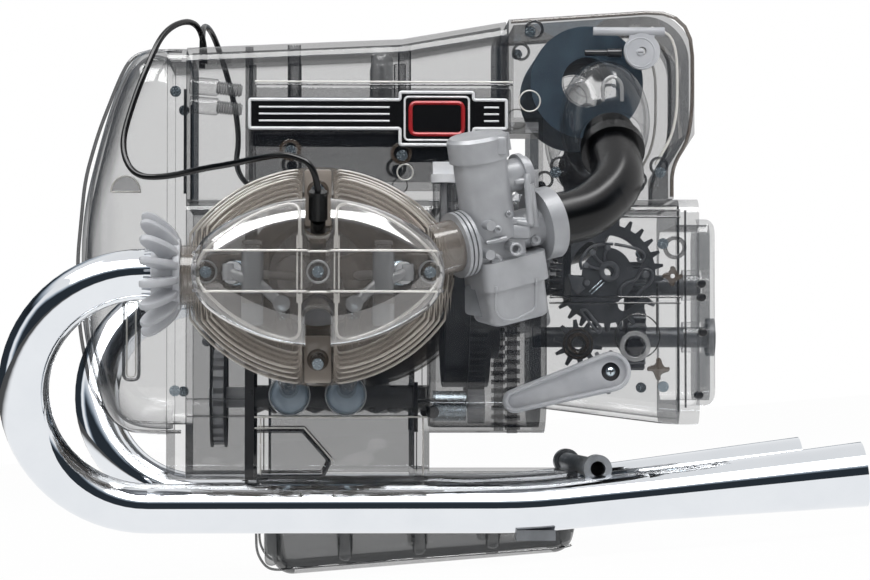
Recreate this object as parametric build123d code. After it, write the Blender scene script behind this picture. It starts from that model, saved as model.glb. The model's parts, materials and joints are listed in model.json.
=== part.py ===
from build123d import *
from math import atan2, cos, degrees, hypot, pi, radians, sin, sqrt, tan
import os

# A clear flat-twin engine model at half size, in millimetres.
# The engine is drawn with its crankshaft along X at height zero, the front towards -X,
# the left cylinder towards -Y and +Z up, and is stood on its sump at the very end.

# Running gear
STROKE = 35.3
BORE = 45.0
ROD_LENGTH = 67.5
CYLINDER_STAGGER = 18.0
CRANK_RADIUS = STROKE / 2
PIN_RADIUS = 5.5
JOURNAL_RADIUS = 8.0
WEB_THICKNESS = 6.0
CENTRE_WEB = 7.0
ROD_THICKNESS = 7.0
BIG_END_WALL = 4.0
SMALL_END_RADIUS = 4.4
GUDGEON_RADIUS = 2.2
COUNTERWEIGHT_RADIUS = 27.0
DOWEL_RADIUS = 2.5
RUNNING_GAP = 0.08
AIR_GAP = 0.3
CUT_OVER = 1.0

# Cases
CASE_WALL = 2.6
CASE_HALF_WIDTH = 50.0
CASE_FRONT_X = -39.3
CASE_STEP_X = 44.0
CASE_REAR_X = 98.9
CASE_TOP_Z = 39.0
CASE_BOTTOM_Z = -94.3
CASE_CORNER = 7.0
BELL_BOTTOM_Z = -72.0
BELL_STEP = 14.0
BELL_HALF_WIDTH = CASE_HALF_WIDTH + BELL_STEP
BEARING_WALL = 7.0
GASKET_THICKNESS = 4.2
CHEST_FRONT_X = -71.5
COVER_FLANGE_FRONT_X = -80.6
COVER_TOP_Z = 111.0
CHAIN_CASE_RIM = 5.0

# Top cover
LID_FRONT_X = CHEST_FRONT_X
LID_REAR_X = 81.0
LID_STEP = 2.0
LID_HALF_WIDTH = CASE_HALF_WIDTH - LID_STEP
LID_FRONT_Z = 112.0
LID_MIDDLE_Z = 116.5
LID_REAR_Z = 125.0
LID_MIDDLE_X = 31.0
LID_CORNER = 9.0

# Gearbox
GEARBOX_REAR_X = 163.0
GEARBOX_END_X = 172.5
GEARBOX_HALF_WIDTH = 52.0
GEARBOX_TOP_Z = 39.6
GEARBOX_BOTTOM_FRONT_Z = -60.0
GEARBOX_BOTTOM_REAR_Z = -68.0
GEARBOX_CORNER = 9.0
REAR_BULGE = 9.0
OUTPUT_FLANGE_RADIUS = 9.3

# Sump
SUMP_FRONT_X = -41.0
SUMP_REAR_X = 120.0
SUMP_BOTTOM_FRONT = (-28.3, -140.0)
SUMP_BOTTOM_REAR = (111.7, -128.7)
SUMP_HALF_WIDTH = 43.0
SUMP_CORNER = 10.0
SUMP_FLANGE = 4.0
SUMP_LIP = 5.0
SUMP_RIB_RADIUS = 3.4
SUMP_RIB_XS = (-31.0, 4.0, 39.0, 74.0, 105.0)
SUMP_RIB_LIFT = 11.0

# Air box and intake
AIRBOX_FRONT_X = 81.9
AIRBOX_REAR_X = 170.6
AIRBOX_TOP_Z = 131.0
AIRBOX_NECK_X = 160.6
AIRBOX_SIDE_Z = 70.4
AIRBOX_NECK_Z = 54.8
AIRBOX_STEP = (96.0, 76.0)
AIRBOX_STEP_OUT = 2.0
AIRBOX_HALF_WIDTH = LID_HALF_WIDTH + AIRBOX_STEP_OUT
AIRBOX_WALL = 2.4
AIRBOX_CORNER = 24.0
FILTER_CENTRE = (119.8, 95.8)
FILTER_RADIUS = 27.0
FILTER_LENGTH = 84.0
FILTER_BORE = 12.0
HOOD_CENTRE = (127.5, 76.0)
HOOD_RADII = (21.5, 24.0, 29.5)
HOOD_WALL = 1.6
HOSE_RADIUS = 12.3
HOSE_WALL = 2.0
GROMMET_RADIUS = 15.0
GROMMET_LENGTH = 6.0
CHOKE_CENTRE = (145.2, 109.7)
CHOKE_RADIUS = 8.6
CHOKE_THICKNESS = 4.0
CHOKE_ARM_RADIUS = 2.0
CHOKE_ARM_LENGTH = 34.0

# Cylinders and heads
LINER_WALL = 3.4
LINER_DEPTH = 10.0
LINER_START = CASE_HALF_WIDTH - LINER_DEPTH
HEAD_START = 103.0
HEAD_END = 150.0
COVER_END = 174.0
BARREL_FIN_RADIUS = 34.0
BARREL_FIN_COUNT = 8
BARREL_FIN_THICKNESS = 1.8
FLANGE_RADIUS = 31.5
FLANGE_THICKNESS = 3.0
FIN_HALF_WIDTH = 62.5
FIN_HALF_HEIGHT = 50.0
FIN_TIP_RADIUS = 22.0
FIN_COUNT = 7
FIN_THICKNESS = 2.4
FIN_SHRINK_SHARE = 0.86
CORE_HALF_WIDTH = 52.0
CORE_HALF_HEIGHT = 37.0
NOTCH_HALF_WIDTH = 7.0
NOTCH_TOP_Z = 17.0
NOTCH_BOTTOM_Z = -15.5
COVER_HALF_WIDTH = 56.0
COVER_HALF_HEIGHT = 33.0
COVER_WALL = 2.0
COVER_EDGE = 13.0
COVER_NOTCH_HALF_WIDTH = 5.5
COVER_NOTCH_TOP_Z = 12.0
COVER_NOTCH_BOTTOM_Z = -11.5
COVER_RIB_Z = 8.4
COVER_RIB_THICKNESS = 1.4
COVER_RIB_HEIGHT = 1.0

# Valve gear
VALVE_TILT = 35.0
VALVE_OFFSET = 11.0
VALVE_SEAT = 114.0
VALVE_LENGTH = 50.0
VALVE_STEM_RADIUS = 2.0
VALVE_HEAD_RADIUS = 9.6
VALVE_HEAD_THICKNESS = 2.4
RETAINER_RADIUS = 5.0
RETAINER_THICKNESS = 2.0
CHAMBER_DEPTH = 7.0
PORT_RADIUS = 9.0
PORT_AXIS = 132.0
PORT_COLLAR = 13.0
ROCKER_PIVOT_X = 29.0
ROCKER_PIVOT_Y = 159.0
ROCKER_HUB_RADIUS = 4.5
ROCKER_AXLE_RADIUS = 2.2
ROCKER_HUB_HALF = 9.6
ROCKER_ARM_RADIUS = 2.5
ROCKER_END_RADIUS = 3.8
POST_THICKNESS = 4.0
PUSHROD_RADIUS = 1.5
PUSHROD_INNER_X = 13.3
PUSHROD_OUTER_X = 16.0
PUSHROD_OUTER_Z = -14.0
TAPPET_RADIUS = 4.5
TAPPET_DEPTH = 4.0
TAPPET_END = CASE_HALF_WIDTH - TAPPET_DEPTH
PUSH_TUBE_RADIUS = 4.8
PUSH_TUBE_BORE = 3.4
SEAL_RADIUS = 9.5

# Camshaft drive
CAM_Z = -55.0
CAM_SHAFT_RADIUS = 5.0
CAM_BASE_RADIUS = 6.0
CAM_TIP_RADIUS = 3.0
CAM_LOBE_WIDTH = 6.0
CAM_LIFT = 3.0
SPROCKET_PITCH = 5.75
CRANK_TEETH = 12
CAM_TEETH = 24
SPROCKET_WIDTH = 5.0
SPROCKET_X = -57.0
CHAIN_PLATE = 1.2
CHAIN_HEIGHT = 4.6

# Flywheel and motor
FLYWHEEL_FRONT_X = 52.0
FLYWHEEL_REAR_X = 74.0
FLYWHEEL_RADIUS = 50.0
RING_TEETH = 90
RING_MODULE = 1.25
RING_WIDTH = 8.0
MOTOR_TEETH = 12
MOTOR_ANGLE = -112.0
MOTOR_RADIUS = 9.0

# Gearbox shafts and selector
SHAFT_RADIUS = 5.0
GEAR_MODULE = 1.5
INPUT_TEETH = 14
OUTPUT_TEETH = 20
GEAR_WIDTH = 9.0
SELECTOR_AXIS = (128.4, 3.9)
SELECTOR_GEAR_AXIS = (115.0, -29.5)
LEVER_AXIS = (128.5, -43.0)
LEVER_LENGTH = 47.0
LEVER_ANGLE = 197.0
LEVER_BIG_RADIUS = 9.4
LEVER_SMALL_RADIUS = 5.6
LEVER_THICKNESS = 7.0
LEVER_RIM = 1.8
LEVER_RECESS = 2.0
SELECTOR_MODULE = 2.0
SELECTOR_TEETH = 26
SELECTOR_GEAR_TEETH = 10
LEVER_GEAR_TEETH = 9
SELECTOR_THICKNESS = 4.0

# Exhaust
PIPE_RADIUS = 11.5
PIPE_WALL = 1.0
PIPE_HEAD_Y = 132.0
PIPE_LOW_Y = 98.0
PIPE_LOW_Z = -106.0
PIPE_BEND_X = -86.5
PIPE_RISE_X = 88.0
PIPE_RISE = 5.7
PIPE_CONE_X = 144.0
PIPE_END_X = 243.0
PIPE_END_RADIUS = 15.0
NUT_RADIUS = 27.0
NUT_HUB_RADIUS = 15.0
NUT_LENGTH = 17.0
NUT_BLADES = 14
NUT_BLADE_THICKNESS = 2.4
CROSSOVER_X = 120.0
CROSSOVER_Z = -88.0
CROSSOVER_RADIUS = 4.5
COLLAR_RADIUS = 6.5
CLIP_X = 91.0
CLIP_WIDTH = 18.0

# Carburettors
CARB_ORIGIN = (69.0, -126.0, 17.5)
CARB_THROAT = (40.8, 18.0, 9.6)
CARB_UP = (-6.3, -10.0, 40.0)
CARB_CHAMBER_RADIUS = 12.2
CARB_CHAMBER_HEIGHT = 36.0
CARB_CAP_RADIUS = 13.7
CARB_CAP_HEIGHT = 11.0
THROAT_RADIUS = 9.0
THROAT_BORE = 6.5
BELL_RADIUS = 16.5
BELL_LENGTH = 8.0
BELL_OFFSET = 24.0
INTAKE_FACE = 19.0
CLAMP_RADIUS = 15.0
CLAMP_WIDTH = 1.5
BOWL_LENGTH = 33.0
BOWL_SHIFT = 5.0
BOWL_WIDTH = 28.0
BOWL_TOP = THROAT_RADIUS + AIR_GAP
BOWL_FLANGE = 13.0
BOWL_DEPTH = 17.0

# Small parts
BADGE_FRONT_X = -42.5
BADGE_REAR_X = 81.7
BADGE_BOTTOM_Z = 71.7
BADGE_TOP_Z = 87.4
BADGE_BLOCK = (29.0, 66.0, 64.0, 91.0)
BADGE_THICKNESS = 3.0
SCREW_RADIUS = 2.6
SCREW_HEIGHT = 1.8
LEAD_RADIUS = 1.45
BOOT_RADIUS = 4.2
DIPSTICK_X = 50.5
DIPSTICK_CLEARANCE = 10.0
DIPSTICK_Y = LID_HALF_WIDTH + DIPSTICK_CLEARANCE


LEFT_X = -CYLINDER_STAGGER / 2

# Case details
BELL_CORNER = 24.0
LENS_STEPS = 20
WHEEL_SLOT_HALF = 45.2
CHEST_LUG_RADIUS = 4.5
COVER_NOSE_X = -123.0
COVER_LOW_Z = -73.0
COVER_NOSE_HALF_WIDTH = 45.0
COVER_NOSE_SHARES = (
    (0.0, 1.0, 0.0, 0.0, 0.5),
    (0.42, 0.95, 0.01, 0.02, 0.55),
    (0.7, 0.82, 0.06, 0.16, 0.6),
    (0.9, 0.6, 0.18, 0.32, 0.7),
    (1.0, 0.4, 0.3, 0.46, 0.8),
)
LID_BOSS_X = 21.5
LID_BOSS_LENGTH = 30.0
LID_BOSS_RADIUS = 4.5
CHEST_LUG_ZS = (-60.0, 10.0)
LEAD_EXITS = ((-64.0, -14.0), (-66.0, 8.0))
DIPSTICK_NECK = 7.0
DIPSTICK_NECK_RADIUS = 5.2
DIPSTICK_ROD_RADIUS = 1.6
SIDE_RIB = 1.6
SIDE_RIB_Z = -8.3
SELECTOR_PIN = 9.0
SELECTOR_PIN_RADIUS = 2.6
SELECTOR_SPACE = 2.0
LEVER_SHAFT_RADIUS = 3.2
output_z = -GEAR_MODULE * (INPUT_TEETH + OUTPUT_TEETH) / 2

# Cylinder and head details
HEAD_BASE = 5.0
PORT_STUB = 6.0
PORT_RUN = 13.0
VALVE_POCKET = 1.5
SPRING_POCKET = 6.0
SPRING_ROOM = 1.6
BOOT_TOP = (LEFT_X, -154.0, 36.0)
BOOT_BEND = (LEFT_X, -150.0, 24.0)
PLUG_END = (LEFT_X, -127.0, 9.0)
PLUG_HOLE_END = (LEFT_X, -126.0, 8.35)
COVER_GROOVE = 9.0
SCREW_FLOOR = 158.0
SCREW_BOSS_RADIUS = 5.6
SCREW_RECESS_RADIUS = 4.2
TIP_SCREW_X = 49.5
CENTRE_SCREW_FLOOR = 163.6
ROCKER_TIP_RADIUS = 2.6
ROCKER_CUP_SHARE = 0.75
SEAL_LIFT = 1.0
SEAL_LENGTH = 6.0

# Running gear details
PIN_LENGTH = 11.0
WEB_RIM = 3.5
CRANK_NOSE_X = -68.0
CRANK_NOSE_RADIUS = 5.0
CRANK_FLANGE_RADIUS = 16.0
FLANGE_PLATE = 4.0
ROLLER_RADIUS = 1.7
SPROCKET_TIP_SHARE = 0.6
FLYWHEEL_RIM = 8.0
FLYWHEEL_BOLTS = 6
FLYWHEEL_BOLT_CIRCLE = 27.0
FLYWHEEL_BOLT_RADIUS = 6.0
SHANK_START_SHARE = 0.8
SHANK_WEB_SHARE = 0.6
SHANK_TAPER_SHARE = 0.85
PISTON_SLOT = 19.0
PISTON_TOP = 16.0
PISTON_CROWN = 5.2
PISTON_SKIRT = 13.5
RING_GROOVE = 1.3
RING_DEPTH = 1.0
RING_COUNT = 3
CAM_LOBE_ANGLES = (20.0, 130.0, 200.0, 310.0)
WINDOW_COUNT = 5
WINDOW_RADIUS = 4.2
WINDOW_CIRCLE = 13.5

# Motor and gearbox details
motor_distance = RING_MODULE * (RING_TEETH + MOTOR_TEETH) / 2
MOTOR_PLACE = (motor_distance * cos(radians(MOTOR_ANGLE)), motor_distance * sin(radians(MOTOR_ANGLE)))
MOTOR_SHAFT_RADIUS = 1.5
MOTOR_FLAT_SHARE = 0.8
CLUTCH_THICKNESS = 5.0
CLUTCH_RADIUS = 36.0
GEAR_X = 142.0
OUTPUT_STUB = 4.0
SELECTOR_START = -GEARBOX_HALF_WIDTH + CASE_WALL + SELECTOR_SPACE
lever_phase = LEVER_ANGLE
selector_gear_bearing = degrees(
    atan2(SELECTOR_GEAR_AXIS[1] - LEVER_AXIS[1], SELECTOR_GEAR_AXIS[0] - LEVER_AXIS[0])
)
selector_bearing = degrees(
    atan2(SELECTOR_AXIS[1] - SELECTOR_GEAR_AXIS[1], SELECTOR_AXIS[0] - SELECTOR_GEAR_AXIS[0])
)
SELECTOR_SLOTS = ((20.0, 60.0, 0.6), (120.0, 70.0, 0.55), (300.0, 50.0, 0.66))
SELECTOR_SLOT_WIDTH = 6.0
LEVER_SCREW_WELL = 4.4
LEVER_HUB_SHARE = 0.7

# Air box and intake details
CHOKE_PIN_RADIUS = 2.0
DUCT_KNEE_OUT = 10.5
DUCT_KNEES = ((131.0, -93.0, 44.0), (128.8, -AIRBOX_HALF_WIDTH - DUCT_KNEE_OUT, 69.5))
DUCT_FIRST_RUN = 19.0
ARC_RUN_SHARE = 0.45
DUCT_SHIFT_SHARES = (1.0, 1.0, 0.0, 0.0)
HOOD_DEPTH = 10.0
CHOKE_ARM_SHARE = 0.68
CHOKE_WEB_SHARE = 0.7

# Carburettor details
PUMP_REACH = 23.0
PUMP_RADIUS = 7.5
PUMP_LIP = 1.8
PUMP_HEIGHT_SHARE = 0.7
PUMP_FLANGE_SHARES = (0.78, 0.88)
PUMP_ROD_SHARE = 0.8
PUMP_BRIDGE_SHARE = 0.55
PUMP_ROD_RADIUS = 2.3
CARB_BOSSES = ((-6.0, 8.0), (4.0, -4.0), (-8.5, -5.0))
CAP_EDGE = 1.5
BOWL_CORNER = 6.0
BOWL_STEP = 1.5
CLAMP_SLEEVE_RADIUS = 12.0
CLAMP_LENGTH = 6.2
CLAMP_SHARES = (0.14, 0.5, 0.86)

# Exhaust details
PIPE_RISE_RADIUS = 300.0
NUT_LAP = 5.0
NUT_BLADE_ROUND_SHARE = 0.42
COLLAR_LENGTH = 12.0
CROSS_GAP = 0.05
CLIP_DEPTH = 12.0
CLIP_DROP = 3.5

# Small part details
PLUG_SHARE = 0.8
LEFT_LEAD_ROUTE = (
    (-64.0, -14.0, 107.0),
    (-64.0, -14.0, 120.0),
    (-70.0, -27.0, 127.5),
    (-82.0, -47.0, 120.0),
    (-89.5, -57.0, 102.0),
    (-97.0, -62.0, 81.0),
    (-101.5, -67.0, 62.0),
    (-95.0, -74.0, 48.0),
    (-80.0, -82.0, 47.0),
    (-62.0, -98.0, 50.0),
    (-48.5, -120.0, 50.5),
    (-35.0, -140.0, 52.0),
    (-22.0, -153.0, 53.0),
    (-9.3, -157.6, 47.0),
    (LEFT_X, -153.05, 33.15),
)
RIGHT_LEAD_ROUTE = (
    (-66.0, 8.0, 107.0),
    (-66.0, 8.0, 121.0),
    (-66.0, 25.0, 131.0),
    (-62.0, 47.0, 129.0),
    (-56.0, 57.0, 112.0),
    (-51.0, 68.0, 93.0),
    (-49.5, 86.0, 77.0),
    (-52.0, 104.0, 66.0),
    (-47.0, 124.0, 57.0),
    (-32.0, 142.0, 53.0),
    (-17.0, 152.5, 54.0),
    (-3.0, 157.0, 54.0),
    (8.5, 157.8, 47.0),
    (LEFT_X + CYLINDER_STAGGER, 154.0, 36.0),
)
BADGE_CORNER = 2.0
DIPSTICK_CAP = 4.0
DIPSTICK_WING = 6.0
DIPSTICK_REACH = 26.0
WING_HALF = 1.4
HEAD_SCREW_SHARE = 0.8
CASE_SCREWS = (
    (-76.5, -52.0, CASE_HALF_WIDTH),
    (-76.5, 90.0, CASE_HALF_WIDTH),
    (-22.0, 62.0, LID_HALF_WIDTH),
    (31.0, 60.0, LID_HALF_WIDTH),
    (92.0, 119.0, AIRBOX_HALF_WIDTH),
    (104.0, 52.0, AIRBOX_HALF_WIDTH),
    (154.0, 52.0, AIRBOX_HALF_WIDTH),
    (155.0, 18.0, GEARBOX_HALF_WIDTH),
    (155.0, -50.0, GEARBOX_HALF_WIDTH),
)

STAND = (Align.CENTER, Align.CENTER, Align.MIN)
sump_run = SUMP_BOTTOM_REAR[0] - SUMP_BOTTOM_FRONT[0]
sump_climb = SUMP_BOTTOM_REAR[1] - SUMP_BOTTOM_FRONT[1]
STAND_TILT = degrees(atan2(sump_climb, sump_run))
SUMP_FOOT = (
    (SUMP_BOTTOM_FRONT[0] + SUMP_BOTTOM_REAR[0]) / 2,
    0,
    (SUMP_BOTTOM_FRONT[1] + SUMP_BOTTOM_REAR[1]) / 2,
)


# Shared shapes

def rod(start, end, radius):
    """A round bar from one point to another."""
    foot = Vector(*start)
    along = Vector(*end) - foot
    return Plane(origin=foot, z_dir=along) * Cylinder(radius, along.length, align=STAND)


def pipe(start, end, outer, inner):
    """A round tube from one point to another."""
    foot = Vector(*start)
    along = Vector(*end) - foot
    wall = Circle(outer) - Circle(inner)
    return extrude(Plane(origin=foot, z_dir=along) * wall, along.length, dir=along)


def block(x_span, y_span, z_span):
    """A plain block between two corners, each axis given as low and high."""
    spans = (x_span, y_span, z_span)
    middle = [(low + high) / 2 for low, high in spans]
    size = [high - low for low, high in spans]
    return Pos(*middle) * Box(*size)


def prism_y(sketch, y_start, y_end):
    """A sketch drawn in X and Z, stretched along Y."""
    plane = Plane(origin=(0, y_start, 0), x_dir=(1, 0, 0), z_dir=(0, -1, 0))
    return extrude(plane * sketch, y_end - y_start, dir=(0, 1, 0))


def prism_x(sketch, x_start, x_end):
    """A sketch drawn in Y and Z, stretched along X."""
    plane = Plane(origin=(x_start, 0, 0), x_dir=(0, 1, 0), z_dir=(1, 0, 0))
    return extrude(plane * sketch, x_end - x_start, dir=(1, 0, 0))


def disc_x(x_span, yz, radius):
    """A round disc with its axis along X."""
    return rod((x_span[0], *yz), (x_span[1], *yz), radius)


def disc_y(y_span, xz, radius):
    """A round disc with its axis along Y."""
    return rod((xz[0], y_span[0], xz[1]), (xz[0], y_span[1], xz[1]), radius)


def far_side(shape):
    """The right-hand copy of a piece that hangs on the left cylinder."""
    return Pos(CYLINDER_STAGGER, 0, 0) * mirror(shape, Plane.XZ)


def across(shape):
    """The right-hand copy of a piece on the cases."""
    return mirror(shape, Plane.XZ)


def gear_face(teeth, module, phase=0.0):
    """A spur gear's outline, with the first tooth at the phase angle in degrees."""
    tip_share, foot_share = 0.1, 0.26
    addendum_share, dedendum_share = 0.8, 1.15
    pitch_radius = module * teeth / 2
    tip = pitch_radius + addendum_share * module
    root = pitch_radius - dedendum_share * module
    points = []
    for tooth in range(teeth):
        for radius, share in ((root, -foot_share), (tip, -tip_share), (tip, tip_share), (root, foot_share)):
            angle = radians(phase) + 2 * pi * (tooth + share) / teeth
            points.append((radius * cos(angle), radius * sin(angle)))
    return Polygon(*points, align=None)


def mesh_phase(phase, teeth, mate_teeth, bearing):
    """The phase in degrees that puts a mate's gap at the first gear's tooth."""
    turn = 360.0
    passed = (bearing - phase) * teeth / turn
    return bearing + turn / 2 + (passed - 1 / 2) * turn / mate_teeth


def lens(half_width, half_height, tip_radius):
    """A lemon outline: two large arcs whose points are rounded."""
    def circles(reach):
        radius = (reach**2 + half_height**2) / (2 * half_height)
        drop = radius - half_height
        return Pos(0, -drop) * Circle(radius) & Pos(0, drop) * Circle(radius)

    reach = half_width
    radius = (reach**2 + half_height**2) / (2 * half_height)
    for _ in range(LENS_STEPS):
        radius = (reach**2 + half_height**2) / (2 * half_height)
        drop = radius - half_height
        blunt = sqrt((radius - tip_radius) ** 2 - drop**2) + tip_radius
        reach += half_width - blunt
    outline = circles(reach)
    return fillet(outline.vertices(), tip_radius)


def notch(half_width, floor_z, open_z):
    """A round-bottomed slot that runs from its floor out past the edge."""
    middle = floor_z + half_width * (1 if open_z > floor_z else -1)
    height = abs(open_z - middle)
    slab = Pos(0, (open_z + middle) / 2) * Rectangle(2 * half_width, height)
    return slab + Pos(0, middle) * Circle(half_width)


# Cases

def bell_section(inset, corner):
    """The bell housing seen along the crankshaft."""
    half = BELL_HALF_WIDTH - inset
    low = BELL_BOTTOM_Z + inset
    high = CASE_TOP_Z - inset
    outline = Pos(0, (low + high) / 2) * RectangleRounded(2 * half, high - low, corner - inset)
    return outline


def crankcase():
    main = block(
        (CASE_FRONT_X, CASE_STEP_X),
        (-CASE_HALF_WIDTH, CASE_HALF_WIDTH),
        (CASE_BOTTOM_Z, CASE_TOP_Z),
    )
    main = fillet(main.edges().filter_by(Axis.X), CASE_CORNER)
    bell = prism_x(bell_section(0, BELL_CORNER), CASE_STEP_X, CASE_REAR_X)
    foot = block(
        (CASE_STEP_X, SUMP_REAR_X - SUMP_LIP),
        (-SUMP_HALF_WIDTH, SUMP_HALF_WIDTH),
        (CASE_BOTTOM_Z, CASE_BOTTOM_Z + SUMP_FLANGE),
    )
    case = main + bell + foot
    hollow = block(
        (CASE_FRONT_X + BEARING_WALL, CASE_STEP_X - BEARING_WALL),
        (-CASE_HALF_WIDTH + CASE_WALL, CASE_HALF_WIDTH - CASE_WALL),
        (CASE_BOTTOM_Z - CUT_OVER, CASE_TOP_Z - CASE_WALL),
    )
    bell_hollow = prism_x(
        bell_section(CASE_WALL, BELL_CORNER), CASE_STEP_X + CASE_WALL, CASE_REAR_X - CASE_WALL
    )
    sump_mouth = block(
        (CASE_STEP_X - BEARING_WALL, SUMP_REAR_X - 2 * SUMP_LIP),
        (-SUMP_HALF_WIDTH + SUMP_LIP, SUMP_HALF_WIDTH - SUMP_LIP),
        (CASE_BOTTOM_Z - CUT_OVER, CASE_BOTTOM_Z + SUMP_FLANGE + CUT_OVER),
    )
    wheel_slot = block(
        (FLYWHEEL_FRONT_X - CUT_OVER, FLYWHEEL_REAR_X + CUT_OVER),
        (-WHEEL_SLOT_HALF, WHEEL_SLOT_HALF),
        (CASE_TOP_Z - 2 * CASE_WALL, CASE_TOP_Z + CUT_OVER),
    )
    case = case - hollow - bell_hollow - sump_mouth - wheel_slot
    case -= disc_x(
        (CASE_FRONT_X - CUT_OVER, CASE_STEP_X + CASE_WALL + CUT_OVER), (0, 0), JOURNAL_RADIUS + RUNNING_GAP
    )
    for z in (0, output_z):
        case -= disc_x(
            (CASE_REAR_X - CASE_WALL - CUT_OVER, CASE_REAR_X + CUT_OVER), (0, z), SHAFT_RADIUS + RUNNING_GAP
        )
    case -= disc_x(
        (CASE_FRONT_X - CUT_OVER, CASE_STEP_X + CUT_OVER), (0, CAM_Z), CAM_SHAFT_RADIUS + RUNNING_GAP
    )
    for side, x in ((-1, LEFT_X), (1, -LEFT_X)):
        inner = side * (CASE_HALF_WIDTH - CASE_WALL - CUT_OVER)
        outer = side * (CASE_HALF_WIDTH + CUT_OVER)
        case -= disc_y((side * (LINER_START - CUT_OVER), outer), (x, 0), BORE / 2 + LINER_WALL)
        for offset in (-PUSHROD_INNER_X, PUSHROD_INNER_X):
            case -= disc_y((inner, outer), (x + offset, CAM_Z), TAPPET_RADIUS + RUNNING_GAP)
    guide_end = TAPPET_END - TAPPET_RADIUS
    for side, x in ((-1, LEFT_X), (1, -LEFT_X)):
        for offset in (-PUSHROD_INNER_X, PUSHROD_INNER_X):
            case += pipe(
                (x + offset, side * guide_end / 2, CAM_Z),
                (x + offset, side * (CASE_HALF_WIDTH - CASE_WALL), CAM_Z),
                TAPPET_RADIUS + CASE_WALL,
                TAPPET_RADIUS + RUNNING_GAP,
            )
    well = (DIPSTICK_X, -DIPSTICK_Y)
    case += rod(
        (*well, CASE_TOP_Z - BELL_CORNER / 2), (*well, CASE_TOP_Z + DIPSTICK_NECK), DIPSTICK_NECK_RADIUS
    )
    case -= rod((*well, 0), (*well, CASE_TOP_Z + DIPSTICK_NECK + CUT_OVER), DIPSTICK_ROD_RADIUS + AIR_GAP)
    return case


def timing_chest():
    """The ring of case between the gasket and the front cover."""
    section = Pos(0, (CASE_BOTTOM_Z + CASE_TOP_Z) / 2) * RectangleRounded(
        2 * CASE_HALF_WIDTH, CASE_TOP_Z - CASE_BOTTOM_Z, CASE_CORNER
    )
    window = Pos(0, (CASE_BOTTOM_Z + CASE_TOP_Z) / 2) * RectangleRounded(
        2 * (
            CASE_HALF_WIDTH - CASE_WALL
        ), CASE_TOP_Z - CASE_BOTTOM_Z - 2 * CASE_WALL, CASE_CORNER - CASE_WALL
    )
    chest = prism_x(section - window, CHEST_FRONT_X, CASE_FRONT_X - GASKET_THICKNESS)
    lugs = Part()
    for side in (-1, 1):
        for z in CHEST_LUG_ZS:
            y = side * (CASE_HALF_WIDTH - CASE_WALL - CHEST_LUG_RADIUS / 2)
            lugs += disc_x((CHEST_FRONT_X, CASE_FRONT_X - GASKET_THICKNESS), (y, z), CHEST_LUG_RADIUS)
    return chest + lugs


def cover_section(x, half_width, low, high, corner):
    """One rounded section of the front cover, at a place along X."""
    plane = Plane(origin=(x, 0, (low + high) / 2), x_dir=(0, 1, 0), z_dir=(1, 0, 0))
    return plane * RectangleRounded(2 * half_width, high - low, corner)


def cover_skin(inset):
    """The front cover's domed body, drawn in by a wall where it is the hollow."""
    reach = COVER_FLANGE_FRONT_X - COVER_NOSE_X
    height = COVER_TOP_Z - COVER_LOW_Z
    sections = []
    for along_share, width_share, low_share, high_share, corner_share in COVER_NOSE_SHARES:
        x = COVER_FLANGE_FRONT_X - along_share * reach + inset * along_share
        low = COVER_LOW_Z + low_share * height + inset
        high = COVER_TOP_Z - high_share * height - inset
        half = width_share * COVER_NOSE_HALF_WIDTH - inset
        sections.append(cover_section(x, half, low, high, corner_share * half))
    return loft(Sketch() + sections)


def front_cover():
    flange = prism_x(
        Pos(0, (CASE_BOTTOM_Z + COVER_TOP_Z) / 2)
        * RectangleRounded(2 * CASE_HALF_WIDTH, COVER_TOP_Z - CASE_BOTTOM_Z, CASE_CORNER),
        COVER_FLANGE_FRONT_X,
        CHEST_FRONT_X,
    )
    window = prism_x(
        Pos(0, (COVER_LOW_Z + COVER_TOP_Z) / 2)
        * RectangleRounded(
            2 * (COVER_NOSE_HALF_WIDTH - CHAIN_CASE_RIM),
            COVER_TOP_Z - COVER_LOW_Z - 2 * CHAIN_CASE_RIM,
            CASE_CORNER,
        ),
        COVER_FLANGE_FRONT_X - CUT_OVER,
        CHEST_FRONT_X + CUT_OVER,
    )
    return flange + cover_skin(0) - cover_skin(CASE_WALL) - window


def lid_outline(inset):
    return Polygon(
        (LID_FRONT_X + inset, CASE_TOP_Z),
        (LID_FRONT_X + inset, LID_FRONT_Z - inset),
        (LID_MIDDLE_X, LID_MIDDLE_Z - inset),
        (LID_REAR_X - inset, LID_REAR_Z - inset),
        (LID_REAR_X - inset, CASE_TOP_Z),
        align=None,
    )


def top_cover():
    lid = prism_y(lid_outline(0), -LID_HALF_WIDTH, LID_HALF_WIDTH)
    tops = lid.edges().filter_by(lambda e: e.center().Z > LID_FRONT_Z - CASE_WALL).filter_by(
        lambda e: abs(e.center().Y) > LID_HALF_WIDTH - CASE_WALL
    )
    lid = fillet(tops, LID_CORNER)
    half = LID_HALF_WIDTH - CASE_WALL
    hollow = prism_y(lid_outline(CASE_WALL), -half, half)
    tops = hollow.edges().filter_by(lambda e: e.center().Z > LID_FRONT_Z - 2 * CASE_WALL).filter_by(
        lambda e: abs(e.center().Y) > half - CASE_WALL
    )
    hollow = fillet(tops, LID_CORNER - CASE_WALL)
    hollow += block(
        (LID_FRONT_X + CASE_WALL, LID_REAR_X - CASE_WALL), (-half, half), (CASE_TOP_Z - CUT_OVER, CASE_TOP_Z)
    )
    lid -= hollow
    boss = rod(
        (LID_BOSS_X, 0, LID_MIDDLE_Z - LID_BOSS_LENGTH),
        (LID_BOSS_X, 0, LID_MIDDLE_Z - CASE_WALL),
        LID_BOSS_RADIUS,
    )
    lid += boss
    for x, y in LEAD_EXITS:
        lid -= rod(
            (x, y, LID_FRONT_Z - 2 * CASE_WALL), (x, y, LID_FRONT_Z + CUT_OVER), LEAD_RADIUS + AIR_GAP
        )
    return lid


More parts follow.
